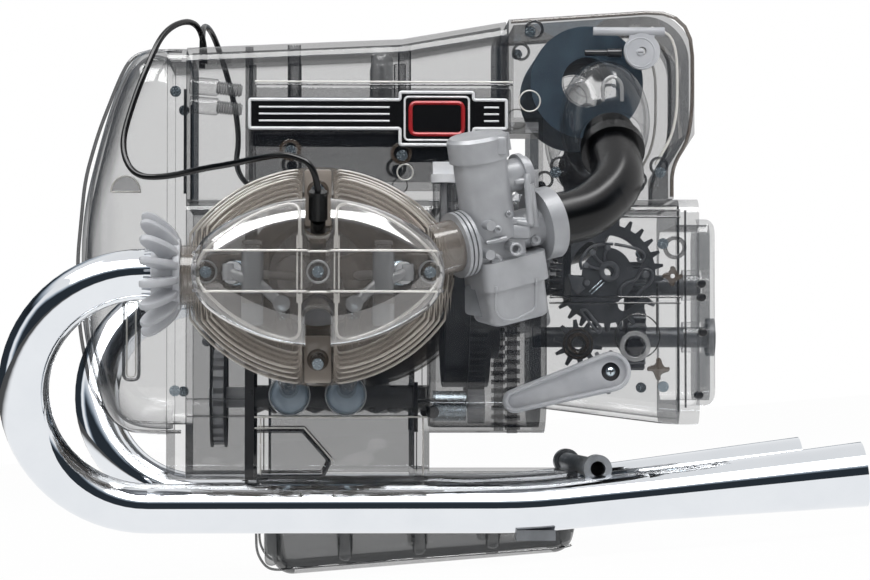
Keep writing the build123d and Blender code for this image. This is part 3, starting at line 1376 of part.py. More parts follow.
def shift_lever():
    """The gear lever with its shaft through the gearbox wall and the gear inside."""
    angle = radians(LEVER_ANGLE)
    end = (LEVER_AXIS[0] + LEVER_LENGTH * cos(angle), LEVER_AXIS[1] + LEVER_LENGTH * sin(angle))
    face_y = -BELL_HALF_WIDTH - 2 * AIR_GAP

    def blade(inset):
        circles = Pos(*LEVER_AXIS) * Circle(LEVER_BIG_RADIUS - inset) + Pos(*end) * Circle(
            LEVER_SMALL_RADIUS - inset
        )
        return make_hull(circles.edges())

    lever = prism_y(blade(0), face_y - LEVER_THICKNESS, face_y)
    lever += disc_y((face_y, -GEARBOX_HALF_WIDTH - AIR_GAP), LEVER_AXIS, LEVER_BIG_RADIUS * LEVER_HUB_SHARE)
    recess = prism_y(
        blade(LEVER_RIM), face_y - LEVER_THICKNESS - CUT_OVER, face_y - LEVER_THICKNESS + LEVER_RECESS
    )
    lever -= recess
    lever += disc_y((face_y - LEVER_THICKNESS + LEVER_RIM, face_y), LEVER_AXIS, LEVER_BIG_RADIUS - LEVER_RIM)
    lever -= disc_y(
        (face_y - LEVER_THICKNESS - CUT_OVER, face_y - LEVER_THICKNESS / 2), LEVER_AXIS, LEVER_SCREW_WELL
    )
    shaft_end = SELECTOR_START + SELECTOR_THICKNESS
    lever += disc_y((face_y - LEVER_THICKNESS / 2, shaft_end), LEVER_AXIS, LEVER_SHAFT_RADIUS)
    gear = gear_face(LEVER_GEAR_TEETH, SELECTOR_MODULE, lever_phase)
    return lever + prism_y(Pos(*LEVER_AXIS) * gear, SELECTOR_START, shaft_end)


# Air box and intake

def airbox_outline(inset):
    corner = AIRBOX_CORNER - inset
    outline = Polygon(
        (AIRBOX_FRONT_X + inset, AIRBOX_STEP[1] + inset),
        (AIRBOX_FRONT_X + inset, LID_REAR_Z - inset),
        (AIRBOX_REAR_X - inset, AIRBOX_TOP_Z - inset),
        (AIRBOX_REAR_X - inset, AIRBOX_SIDE_Z + inset / 2),
        (AIRBOX_NECK_X - inset, AIRBOX_NECK_Z),
        (AIRBOX_NECK_X - inset, GEARBOX_TOP_Z),
        (AIRBOX_STEP[0] + inset, GEARBOX_TOP_Z),
        (AIRBOX_STEP[0] + inset, AIRBOX_STEP[1] + inset),
        align=None,
    )
    crown = outline.vertices().filter_by(lambda v: v.X > AIRBOX_NECK_X and v.Y > AIRBOX_SIDE_Z + AIRBOX_WALL)
    return fillet(crown, corner)


def airbox():
    half = AIRBOX_HALF_WIDTH
    box = prism_y(airbox_outline(0), -half, half)
    inner = prism_y(airbox_outline(AIRBOX_WALL), -half + AIRBOX_WALL, half - AIRBOX_WALL)
    box -= inner
    for side in (-1, 1):
        pin = disc_y(
            (side * half, side * (half + AIR_GAP + CHOKE_THICKNESS)) if side > 0 else
            (side * (half + AIR_GAP + CHOKE_THICKNESS), side * (half - AIRBOX_WALL)),
            CHOKE_CENTRE,
            CHOKE_PIN_RADIUS,
        )
        if side < 0:
            box += pin
        box += disc_y(
            (side * (half - AIRBOX_WALL), side * FILTER_LENGTH / 2), FILTER_CENTRE, FILTER_BORE - AIR_GAP
        ) - disc_y(
            (side * half, side * (FILTER_LENGTH / 2 - CUT_OVER)),
            FILTER_CENTRE,
            FILTER_BORE - 2 * AIRBOX_WALL,
        )
    return box


def air_filter():
    return disc_y((-FILTER_LENGTH / 2, FILTER_LENGTH / 2), FILTER_CENTRE, FILTER_RADIUS) - disc_y(
        (-FILTER_LENGTH / 2 - CUT_OVER, FILTER_LENGTH / 2 + CUT_OVER), FILTER_CENTRE, FILTER_BORE
    )


def intake_hood():
    """The clear egg-shaped hood on the left of the air box, open towards the duct."""
    face = -AIRBOX_HALF_WIDTH

    def egg(inset):
        radii = [radius - inset for radius in HOOD_RADII]
        return Pos(HOOD_CENTRE[0], face, HOOD_CENTRE[1]) * scale(Sphere(1), by=tuple(radii))

    hood = egg(0) - egg(HOOD_WALL)
    span = 2 * max(HOOD_RADII)
    hood &= block(
        (
            HOOD_CENTRE[0] - span, HOOD_CENTRE[0] + span
        ), (face - span, face), (HOOD_CENTRE[1] - span, HOOD_CENTRE[1] + span)
    )
    return hood - rod(DUCT_KNEES[-2], DUCT_KNEES[-1], GROMMET_RADIUS + RUNNING_GAP)


def duct_path(points):
    """Straight runs joined by arcs as large as the runs allow."""
    places = [Vector(*point) for point in points]
    radii = []
    for before, here, after in zip(places, places[1:], places[2:]):
        turn = radians((here - before).get_angle(after - here))
        run = min((here - before).length, (after - here).length)
        radii.append(ARC_RUN_SHARE * run / tan(turn / 2))
    return FilletPolyline(*places, radius=radii), radii


def swept_tube(points, radius):
    """A solid round cord or duct along a route; also its length and arc radii."""
    path, radii = duct_path(points)
    plane = Plane(origin=path @ 0, z_dir=path % 0)
    return sweep(plane * Circle(radius), path=path), path.length, radii


def intake_ducts():
    ducts = []
    frame = carb_frame()
    mouth = BELL_OFFSET + BELL_LENGTH + AIR_GAP
    starts = [frame.from_local_coords(Vector(x, 0, 0)) for x in (mouth, mouth + DUCT_FIRST_RUN)]
    left_route = [tuple(point) for point in starts] + list(DUCT_KNEES)
    right_route = [
        (x + CYLINDER_STAGGER * share, -y, z) for (x, y, z), share in zip(left_route, DUCT_SHIFT_SHARES)
    ]
    for points in (left_route, right_route):
        outer, _, _ = swept_tube(points, HOSE_RADIUS)
        inner, _, _ = swept_tube(points, HOSE_RADIUS - HOSE_WALL)
        duct = outer - inner
        end, before = Vector(*points[-1]), Vector(*points[-2])
        along = (end - before).normalized()
        collar_start = end - along * (HOOD_DEPTH + GROMMET_LENGTH)
        duct += pipe(
            tuple(collar_start), tuple(collar_start + along * GROMMET_LENGTH), GROMMET_RADIUS, HOSE_RADIUS
        )
        ducts.append(duct)
    return ducts


def choke_lever():
    """The round choke lever with its long upper arm."""
    face = -AIRBOX_HALF_WIDTH - AIR_GAP
    x, z = CHOKE_CENTRE
    lever = disc_y((face - CHOKE_THICKNESS, face), CHOKE_CENTRE, CHOKE_RADIUS)
    arm_z = z + CHOKE_RADIUS + CHOKE_ARM_RADIUS / 2
    arm_y = face - CHOKE_THICKNESS / 2
    arm_start = x - CHOKE_ARM_LENGTH * CHOKE_ARM_SHARE
    lever += rod((arm_start, arm_y, arm_z), (arm_start + CHOKE_ARM_LENGTH, arm_y, arm_z), CHOKE_ARM_RADIUS)
    lever += block(
        (x - CHOKE_RADIUS * CHOKE_WEB_SHARE, x + CHOKE_RADIUS * CHOKE_WEB_SHARE),
        (face - CHOKE_THICKNESS + CHOKE_THICKNESS / 4, face - CHOKE_THICKNESS / 4),
        (z, arm_z),
    )
    return lever - disc_y(
        (face - CHOKE_THICKNESS - CUT_OVER, face + CUT_OVER), CHOKE_CENTRE, CHOKE_PIN_RADIUS + RUNNING_GAP
    )


# Carburettors

def carb_frame():
    """The left carburettor's own frame: x down the throat to the rear, z up the slide chamber."""
    up = Vector(*CARB_UP).normalized()
    throat = Vector(*CARB_THROAT)
    level = (throat - up * throat.dot(up)).normalized()
    return Plane(origin=CARB_ORIGIN, x_dir=level, z_dir=up)


def carb_body():
    frame = carb_frame()
    chamber = Cylinder(CARB_CHAMBER_RADIUS, CARB_CHAMBER_HEIGHT, align=STAND)
    throat = rod((-INTAKE_FACE + AIR_GAP, 0, 0), (BELL_OFFSET + CUT_OVER, 0, 0), THROAT_RADIUS)
    bell = rod((BELL_OFFSET, 0, 0), (BELL_OFFSET + BELL_LENGTH, 0, 0), BELL_RADIUS)
    neck = block(
        (-CARB_CHAMBER_RADIUS, CARB_CHAMBER_RADIUS), (-THROAT_RADIUS, THROAT_RADIUS), (-BOWL_TOP, 0)
    )
    body = chamber + throat + bell + neck
    pump_z = CARB_CHAMBER_HEIGHT * PUMP_HEIGHT_SHARE
    body += rod((0, 0, pump_z), (PUMP_REACH, 0, pump_z), PUMP_RADIUS)
    body += rod(
        (PUMP_REACH * PUMP_FLANGE_SHARES[0], 0, pump_z),
        (PUMP_REACH * PUMP_FLANGE_SHARES[1], 0, pump_z),
        PUMP_RADIUS + PUMP_LIP,
    )
    body += rod(
        (PUMP_REACH * PUMP_ROD_SHARE, -THROAT_RADIUS, PUMP_LIP),
        (PUMP_REACH * PUMP_ROD_SHARE, -THROAT_RADIUS, pump_z - PUMP_RADIUS / 2),
        PUMP_ROD_RADIUS,
    )
    body += block(
        (PUMP_REACH * PUMP_BRIDGE_SHARE, PUMP_REACH),
        (-THROAT_RADIUS, THROAT_RADIUS / 2),
        (0, 2 * PUMP_ROD_RADIUS),
    )
    for x, z in CARB_BOSSES:
        body += rod((x, 0, z), (x, -CARB_CHAMBER_RADIUS - PUMP_LIP, z), PUMP_ROD_RADIUS)
    bore = rod((-INTAKE_FACE, 0, 0), (BELL_OFFSET + BELL_LENGTH + CUT_OVER, 0, 0), THROAT_BORE)
    mouth = rod(
        (BELL_OFFSET + BELL_LENGTH / 2, 0, 0),
        (BELL_OFFSET + BELL_LENGTH + CUT_OVER, 0, 0),
        HOSE_RADIUS + RUNNING_GAP,
    )
    return frame * (body - bore - mouth)


def carb_cap():
    cap = Pos(0, 0, CARB_CHAMBER_HEIGHT) * Cylinder(CARB_CAP_RADIUS, CARB_CAP_HEIGHT, align=STAND)
    cap = chamfer(cap.faces().sort_by(Axis.Z)[-1].edges(), CAP_EDGE)
    tab = block(
        (CARB_CAP_RADIUS - CAP_EDGE, CARB_CAP_RADIUS + CAP_EDGE),
        (-CAP_EDGE * 2, CAP_EDGE * 2),
        (CARB_CHAMBER_HEIGHT + CAP_EDGE, CARB_CHAMBER_HEIGHT + CARB_CAP_HEIGHT - CAP_EDGE),
    )
    return carb_frame() * (cap + tab)


def float_bowl():
    frame = carb_frame()
    flange = Pos(BOWL_SHIFT, 0, -BOWL_TOP - BOWL_FLANGE / 2) * Box(BOWL_LENGTH, BOWL_WIDTH, BOWL_FLANGE)
    flange = fillet(flange.edges().filter_by(Axis.Z), BOWL_CORNER)
    low = -BOWL_TOP - BOWL_FLANGE - BOWL_DEPTH
    tub = Pos(BOWL_SHIFT, 0, low + BOWL_DEPTH / 2) * Box(
        BOWL_LENGTH - 2 * BOWL_STEP, BOWL_WIDTH - 2 * BOWL_STEP, BOWL_DEPTH
    )
    tub = fillet(tub.edges().filter_by(Axis.Z), BOWL_CORNER)
    tub = fillet(tub.faces().sort_by(Axis.Z)[0].edges(), BOWL_CORNER / 2)
    return frame * (flange + tub)


def intake_clamp():
    """The ribbed silver sleeve between head and carburettor."""
    start = -INTAKE_FACE + AIR_GAP
    sleeve = rod((start, 0, 0), (start + CLAMP_LENGTH, 0, 0), CLAMP_SLEEVE_RADIUS)
    for share in CLAMP_SHARES:
        middle = start + CLAMP_LENGTH * share
        sleeve += rod((middle - CLAMP_WIDTH / 2, 0, 0), (middle + CLAMP_WIDTH / 2, 0, 0), CLAMP_RADIUS)
    bore = rod(
        (start - CUT_OVER, 0, 0), (start + CLAMP_LENGTH + CUT_OVER, 0, 0), THROAT_RADIUS + RUNNING_GAP
    )
    return carb_frame() * (sleeve - bore)


# Exhaust

def pipe_rise_point(x):
    """The pipe's centre behind the point where it starts to rise."""
    return PIPE_LOW_Z + (x - PIPE_RISE_X) * tan(radians(PIPE_RISE))


def exhaust_path(shift):
    head_y, low_y = -PIPE_HEAD_Y, -PIPE_LOW_Y
    chord = hypot(PIPE_LOW_Z, PIPE_HEAD_Y - PIPE_LOW_Y)
    start = (LEFT_X - FIN_HALF_WIDTH - PORT_STUB + shift - AIR_GAP, head_y, 0)
    bend_in = (PIPE_BEND_X + shift, head_y, 0)
    bend_mid = (PIPE_BEND_X + shift - chord / 2, (head_y + low_y) / 2, PIPE_LOW_Z / 2)
    bend_out = (PIPE_BEND_X + shift, low_y, PIPE_LOW_Z)
    rise = (PIPE_RISE_X, low_y, PIPE_LOW_Z)
    cone = (PIPE_CONE_X, low_y, pipe_rise_point(PIPE_CONE_X))
    tail = FilletPolyline(bend_out, rise, cone, radius=[PIPE_RISE_RADIUS])
    return Line(start, bend_in) + ThreePointArc(bend_in, bend_mid, bend_out) + tail


def exhaust_pipe(shift):
    path = exhaust_path(shift)
    start = Plane(origin=path @ 0, z_dir=path % 0)
    outer = sweep(start * Circle(PIPE_RADIUS), path=path)
    inner = sweep(start * Circle(PIPE_RADIUS - PIPE_WALL), path=path)
    cone_foot = Vector(PIPE_CONE_X, -PIPE_LOW_Y, pipe_rise_point(PIPE_CONE_X))
    cone_end = Vector(PIPE_END_X, -PIPE_LOW_Y, pipe_rise_point(PIPE_END_X))
    along = cone_end - cone_foot
    seat = Plane(origin=cone_foot, z_dir=along)
    length = along.length
    cone = seat * Cone(PIPE_RADIUS, PIPE_END_RADIUS, length, align=STAND)
    bore = seat * Cone(PIPE_RADIUS - PIPE_WALL, PIPE_END_RADIUS - PIPE_WALL, length, align=STAND)
    return (outer - inner) + (cone - bore)


def exhaust_pipes():
    return [exhaust_pipe(0), across(exhaust_pipe(CYLINDER_STAGGER))]


def exhaust_nut():
    """The finned nut that clamps the pipe to the head."""
    x_end = LEFT_X - FIN_HALF_WIDTH - PORT_STUB + NUT_LAP
    x_start = x_end - NUT_LENGTH
    y = -PIPE_HEAD_Y
    nut = disc_x((x_start, x_end), (y, 0), NUT_HUB_RADIUS)
    for index in range(NUT_BLADES):
        angle = 360 * (index + 0.5) / NUT_BLADES
        blade = Pos((NUT_HUB_RADIUS + NUT_RADIUS) / 2 - CUT_OVER, 0, (x_start + x_end) / 2) * Box(
            NUT_RADIUS - NUT_HUB_RADIUS + 2 * CUT_OVER, NUT_BLADE_THICKNESS, NUT_LENGTH
        )
        outer_edges = blade.edges().filter_by(Axis.Y).filter_by(
            lambda e: e.center().X > NUT_HUB_RADIUS + CUT_OVER
        )
        blade = fillet(outer_edges, NUT_LENGTH * NUT_BLADE_ROUND_SHARE)
        placed = Plane(origin=(0, y, 0), x_dir=(0, 1, 0), z_dir=(1, 0, 0)) * Rot(0, 0, angle) * blade
        nut += placed
    return nut - disc_x((x_start - CUT_OVER, x_end - NUT_LAP), (y, 0), PIPE_RADIUS + AIR_GAP) - disc_x(
        (x_end - NUT_LAP - CUT_OVER, x_end + CUT_OVER), (y, 0), PORT_COLLAR + RUNNING_GAP
    )


def crossover_pipe():
    """The cross pipe between the exhausts, its two collars and the clips under the pipes."""
    low = PIPE_LOW_Y
    tube = pipe(
        (CROSSOVER_X, -low, CROSSOVER_Z),
        (CROSSOVER_X, low, CROSSOVER_Z),
        CROSSOVER_RADIUS,
        CROSSOVER_RADIUS - PIPE_WALL,
    )
    pieces = [tube]
    slope = radians(PIPE_RISE)
    seats = Part()
    for side in (-1, 1):
        inner = side * (low - COLLAR_LENGTH)
        outer = side * low
        pieces[0] += pipe(
            (CROSSOVER_X, inner, CROSSOVER_Z),
            (CROSSOVER_X, outer, CROSSOVER_Z),
            COLLAR_RADIUS,
            CROSSOVER_RADIUS - PIPE_WALL,
        )
        seats += rod(
            (PIPE_RISE_X, side * low, PIPE_LOW_Z), (
                PIPE_CONE_X, side * low, pipe_rise_point(PIPE_CONE_X)
            ), PIPE_RADIUS + CROSS_GAP
        )
        clip_z = pipe_rise_point(CLIP_X) - PIPE_RADIUS
        clip = block(
            (CLIP_X - CLIP_WIDTH / 2, CLIP_X + CLIP_WIDTH / 2),
            (side * low - CLIP_DEPTH / 2, side * low + CLIP_DEPTH / 2),
            (clip_z - CLIP_DROP, clip_z + PIPE_RADIUS / 2),
        )
        pieces.append(clip)
    run = rod(
        (PIPE_BEND_X, -low, PIPE_LOW_Z),
        (PIPE_RISE_X + CLIP_WIDTH, -low, PIPE_LOW_Z),
        PIPE_RADIUS + CROSS_GAP,
    )
    seats += run + across(run)
    pieces[0] -= seats
    pieces[1] -= seats
    pieces[2] -= seats
    return pieces


# Small parts

def plug_boot():
    bent = rod(BOOT_TOP, BOOT_BEND, BOOT_RADIUS)
    plug = rod(BOOT_BEND, PLUG_END, BOOT_RADIUS * PLUG_SHARE)
    return bent + plug


def name_plate():
    bar = prism_y(
        Pos((BADGE_FRONT_X + BADGE_REAR_X) / 2, (BADGE_BOTTOM_Z + BADGE_TOP_Z) / 2)
        * RectangleRounded(BADGE_REAR_X - BADGE_FRONT_X, BADGE_TOP_Z - BADGE_BOTTOM_Z, BADGE_CORNER),
        -LID_HALF_WIDTH - BADGE_THICKNESS,
        -LID_HALF_WIDTH,
    )
    x0, x1, z0, z1 = BADGE_BLOCK
    middle = prism_y(
        Pos((x0 + x1) / 2, (z0 + z1) / 2) * RectangleRounded(x1 - x0, z1 - z0, BADGE_CORNER),
        -LID_HALF_WIDTH - BADGE_THICKNESS,
        -LID_HALF_WIDTH,
    )
    return bar + middle


def dipstick():
    foot = CASE_TOP_Z + DIPSTICK_NECK + AIR_GAP
    place = (DIPSTICK_X, -DIPSTICK_Y)
    cap = rod((*place, foot), (*place, foot + DIPSTICK_CAP), DIPSTICK_NECK_RADIUS + PUMP_LIP / 2)
    wing = block(
        (DIPSTICK_X - DIPSTICK_NECK_RADIUS, DIPSTICK_X + DIPSTICK_NECK_RADIUS),
        (-DIPSTICK_Y - WING_HALF, -DIPSTICK_Y + WING_HALF),
        (foot, foot + DIPSTICK_CAP + DIPSTICK_WING),
    )
    stick = rod((*place, foot - DIPSTICK_REACH), (*place, foot), DIPSTICK_ROD_RADIUS)
    return cap + wing + stick


def screw(foot, along):
    """A pan-head screw with a crossed recess, standing on its foot."""
    seat = Plane(origin=Vector(*foot), z_dir=Vector(*along))
    piece = Cylinder(SCREW_RADIUS, SCREW_HEIGHT, align=STAND)
    for turn in (0, 90):
        slot = Box(SCREW_RADIUS, SCREW_RADIUS / 4, SCREW_HEIGHT)
        piece -= Pos(0, 0, SCREW_HEIGHT) * Rot(0, 0, turn) * slot
    return seat * piece


def cover_screws():
    places = (
        left(-TIP_SCREW_X, SCREW_FLOOR, 0),
        left(TIP_SCREW_X, SCREW_FLOOR, 0),
        left(0, CENTRE_SCREW_FLOOR, 0),
        left(0, HEAD_START + HEAD_BASE, FIN_HALF_HEIGHT * HEAD_SCREW_SHARE),
        left(0, HEAD_START + HEAD_BASE, -FIN_HALF_HEIGHT * HEAD_SCREW_SHARE),
    )
    return [screw(place, (0, -1, 0)) for place in places]


def case_screws():
    pieces = []
    for x, z, half in CASE_SCREWS:
        pieces.append(screw((x, -half, z), (0, -1, 0)))
        pieces.append(screw((x, half, z), (0, 1, 0)))
    return pieces


def stand_up(shape):
    """Pitch the engine nose up and put the middle of the sump's foot at the origin."""
    turned = Rotation(0, STAND_TILT, 0) * shape
    foot = Rotation(0, STAND_TILT, 0) * Pos(*SUMP_FOOT)
    return Pos(-foot.position.X, -foot.position.Y, -foot.position.Z) * turned


def both(shape):
    return [shape, far_side(shape)]


def listed(shape):
    """One flat list of solids from a shape or a list of shapes."""
    shapes = shape if isinstance(shape, list) else [shape]
    return [solid for one in shapes for solid in one.solids()]


def write(name, shape):
    solids = [stand_up(solid) for solid in listed(shape)]
    whole = solids[0] if len(solids) == 1 else Compound(children=solids)
    export_step(whole, f"parts/{name}.step")


def pair(name, shape):
    write(f"{name}_left", shape)
    write(f"{name}_right", far_side(shape))


def main():
    os.makedirs("parts", exist_ok=True)
    write("crankcase", crankcase())
    write("timing_chest", timing_chest())
    write("front_cover", front_cover())
    write("top_cover", top_cover())
    write("gearbox_housing", gearbox_housing())
    write("gearbox_rear_cover", gearbox_rear_cover())
    write("oil_sump", oil_sump())
    write("case_gasket", case_gaskets())
    write("airbox", airbox())
    write("air_filter", air_filter())
    hood = intake_hood()
    write("intake_hoods", [hood, across(hood)])
    write("intake_ducts", intake_ducts())
    write("carb_bodies", both(carb_body()))
    write("float_bowls", both(float_bowl()))
    write("carb_caps", both(carb_cap()))
    write("intake_clamps", both(intake_clamp()))
    write("cylinders", both(cylinder()))
    pair("head", head())
    write("valve_covers", both(valve_cover()))
    write("exhaust_pipes", exhaust_pipes())
    write("exhaust_nuts", both(exhaust_nut()))
    write("crossover_pipe", crossover_pipe())
    tubes = pushrod_tubes()
    write("pushrod_tubes", tubes + [far_side(tube) for tube in tubes])
    write("plug_boots", both(plug_boot()))
    for name, points in (("plug_lead_left", LEFT_LEAD_ROUTE), ("plug_lead_right", RIGHT_LEAD_ROUTE)):
        lead, length, radii = swept_tube(points, LEAD_RADIUS)
        write(name, lead)
        print(
            name,
            "length",
            round(length, 1),
            "volume share",
            round(lead.volume / (pi * LEAD_RADIUS**2 * length), 4),
        )
        print("  arc radii", [round(radius, 1) for radius in radii])
    plate = name_plate()
    write("name_plates", [plate, across(plate)])
    screws = cover_screws()
    write("screws", screws + [far_side(one) for one in screws] + case_screws())
    write("drive_motor", drive_motor())
    write("timing_chain", timing_chain())
    write("crankshaft", crankshaft())
    write("flywheel", flywheel())
    pair("con_rod", con_rod())
    pair("piston", piston())
    write("crank_dowel_left", crank_dowel())
    write("crank_dowel_right", across(crank_dowel()))
    write("camshaft", camshaft())
    for hand, name in ((1, "intake"), (-1, "exhaust")):
        pair(f"{name}_valve", valve(hand))
        pair(f"{name}_rocker", rocker(hand))
        pair(f"{name}_pushrod", pushrod(hand))
    write("input_shaft", input_shaft())
    write("output_shaft", output_shaft())
    write("motor_pinion", motor_pinion())
    write("shift_lever", shift_lever())
    write("selector_gear", selector_gear())
    write("selector_plate", selector_plate())
    write("choke_lever", choke_lever())
    write("dipstick", dipstick())


main()
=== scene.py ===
"""Looks of a half-scale, see-through flat twin engine model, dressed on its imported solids.

Sizes are in engine millimetres: X runs from the front cover to the gearbox, Y from the left
cylinder to the right one, Z up along the case, and the origin is in the middle of the crank.
"""

import json
import logging
import math
from dataclasses import dataclass, field
from enum import Enum
from typing import Any, Sequence

import bpy
from mathutils import Matrix, Vector
from mathutils.bvhtree import BVHTree


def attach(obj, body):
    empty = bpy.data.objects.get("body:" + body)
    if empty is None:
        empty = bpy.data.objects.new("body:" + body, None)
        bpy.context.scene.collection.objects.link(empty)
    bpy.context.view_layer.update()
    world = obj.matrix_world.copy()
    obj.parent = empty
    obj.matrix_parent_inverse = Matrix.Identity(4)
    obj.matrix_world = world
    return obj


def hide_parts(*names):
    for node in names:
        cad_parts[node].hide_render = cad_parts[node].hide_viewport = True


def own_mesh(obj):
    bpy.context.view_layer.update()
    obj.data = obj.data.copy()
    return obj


Colour = tuple[float, float, float, float]
Point = tuple[float, float, float]
Flat = tuple[float, float]
Outline = tuple[Flat, ...]
Triple = tuple[float, float, float]

LOG = logging.getLogger("engine_model")

BEVEL_SHARE = 0.45
CORNER_SHARE = 0.48
HALVINGS = 60
# How far a line stands off its face, and how far a ring's back lies inside it, millimetres.
PROUD = 0.1
SUNK = 0.6
# Radii of the finest lines and of the next ones, millimetres.
HAIR = 0.35
THIN = 0.5
WHITE_LIGHT: Colour = (1.0, 1.0, 1.0, 1.0)
UP: Point = (0.0, 0.0, 1.0)
LEFTWARDS: Point = (0.0, -1.0, 0.0)
SIDES = ("left", "right")


def placed(name: str, data: Any) -> Any:
    """Return a new object in the scene."""
    made = bpy.data.objects.new(name, data)
    bpy.context.scene.collection.objects.link(made)
    return made


def tone(red: float, green: float, blue: float) -> Colour:
    """Turn screen values into the linear colour that a shader takes.

    Args:
        red: Red from 0 to 255.
        green: Green from 0 to 255.
        blue: Blue from 0 to 255.

    Returns:
        The linear colour with full opacity.
    """
    def linear(value: float) -> float:
        """Undo the screen curve for one channel."""
        share = value / 255
        return share / 12.92 if share <= 0.04045 else ((share + 0.055) / 1.055) ** 2.4

    return (linear(red), linear(green), linear(blue), 1.0)


@dataclass(frozen=True)
class Stance:
    """How the engine stands on the floor."""

    tilt: float = math.atan2(11.3, 140.0)
    foot: Point = (41.7, 0.0, -134.35)
    unit: float = 0.001

    def matrix(self) -> Matrix:
        """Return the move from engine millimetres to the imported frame's metres."""
        turn = Matrix.Rotation(self.tilt, 4, "Y")
        return Matrix.Scale(self.unit, 4) @ turn @ Matrix.Translation(-Vector(self.foot))

    def point(self, place: Sequence[float]) -> Vector:
        """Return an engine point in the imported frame."""
        return self.matrix() @ Vector(place)

    def direction(self, way: Sequence[float]) -> Vector:
        """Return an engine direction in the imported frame, one long."""
        return (self.matrix().to_3x3() @ Vector(way)).normalized()


STANCE = Stance()


# Materials


@dataclass(frozen=True)
class Signal:
    """A socket of a node tree, which takes part in Python expressions."""

    book: "NodeBook"
    socket: Any

    def maths(self, operation: str, other: Any, flipped: bool = False) -> "Signal":
        """Add a Math node on this signal and another one.

        Args:
            operation: The Math node's operation.
            other: The other value or signal.
            flipped: Whether the other value comes first.

        Returns:
            The Math node's result.
        """
        pair = [other, self] if flipped else [self, other]
        return self.book.signal(
            "ShaderNodeMath", 0, dict(enumerate(pair)), {"operation": operation}
        )

    def __add__(self, other: Any) -> "Signal":
        """Add."""
        return self.maths("ADD", other)

    __radd__ = __add__

    def __sub__(self, other: Any) -> "Signal":
        """Take away."""
        return self.maths("SUBTRACT", other)

    def __rsub__(self, other: Any) -> "Signal":
        """Take this from the other."""
        return self.maths("SUBTRACT", other, flipped=True)

    def __mul__(self, other: Any) -> "Signal":
        """Multiply."""
        return self.maths("MULTIPLY", other)

    __rmul__ = __mul__

    def __pow__(self, other: Any) -> "Signal":
        """Raise to a power."""
        return self.maths("POWER", other)

    def most(self, other: Any) -> "Signal":
        """Return the larger of two."""
        return self.maths("MAXIMUM", other)

    def ramp(self, low: float, high: float) -> "Signal":
        """Return 0 at low, 1 at high and a smooth rise between."""
        return self.book.signal(
            "ShaderNodeMapRange", "Result", {"Value": self, "From Min": low, "From Max": high},
            {"interpolation_type": "SMOOTHSTEP"},
        )


@dataclass
class NodeBook:
    """The nodes of one material or of the world."""

    tree: Any

    def __post_init__(self) -> None:
        """Start from an empty tree."""
        self.tree.nodes.clear()

    def node(self, kind: str, sockets: dict[str | int, Any] | None = None,
             settings: dict[str, Any] | None = None) -> Any:
        """Add one node.

        Args:
            kind: The node's type.
            sockets: Values or signals for its input sockets.
            settings: Its settings.

        Returns:
            The new node.
        """
        made = self.tree.nodes.new(kind)
        for name, value in (settings or {}).items():
            setattr(made, name, value)
        for key, value in (sockets or {}).items():
            if isinstance(value, Signal):
                self.tree.links.new(value.socket, made.inputs[key])
            else:
                made.inputs[key].default_value = value
        return made

    def signal(self, kind: str, output: str | int, sockets: dict[str | int, Any] | None = None,
               settings: dict[str, Any] | None = None) -> Signal:
        """Add one node and return one of its outputs as a signal."""
        return Signal(self, self.node(kind, sockets, settings).outputs[output])

    def coordinates(self) -> Signal:
        """Return the object coordinates, in metres."""
        return self.signal("ShaderNodeTexCoord", "Object")

    def ray(self, kind: str) -> Signal:
        """Return 1 for a Camera, Glossy or Transmission ray and 0 for any other."""
        return self.signal("ShaderNodeLightPath", f"Is {kind} Ray")

    def axes(self, vector: Signal) -> tuple[Signal, Signal, Signal]:
        """Split a vector in its three numbers."""
        parts = self.node("ShaderNodeSeparateXYZ", {0: vector})
        return tuple(Signal(self, parts.outputs[index]) for index in range(3))

    def noise(self, scale: float, detail: float = 3.0) -> Signal:
        """Return a noise in the object's own space, scale waves to the metre."""
        return self.signal(
            "ShaderNodeTexNoise", "Fac",
            {"Vector": self.coordinates(), "Scale": scale, "Detail": detail},
        )

    def blend(self, factor: Any, first: Any, second: Any) -> Signal:
        """Mix two colours."""
        return self.signal(
            "ShaderNodeMix", 2, {0: factor, 6: first, 7: second}, {"data_type": "RGBA"}
        )

    def bump(self, height: Signal, strength: float, distance: float) -> Signal:
        """Return a normal that follows a height."""
        return self.signal(
            "ShaderNodeBump", "Normal",
            {"Height": height, "Strength": strength, "Distance": distance},
        )

    def facing(self) -> Signal:
        """Return 0 on a surface seen square on and 1 on one seen edge on."""
        return self.signal("ShaderNodeLayerWeight", "Facing", {"Blend": 0.5})

    def surface(self, sockets: dict[str | int, Any]) -> None:
        """Close a material with one Principled shader."""
        shader = self.signal("ShaderNodeBsdfPrincipled", 0, sockets)
        self.node("ShaderNodeOutputMaterial", {"Surface": shader})


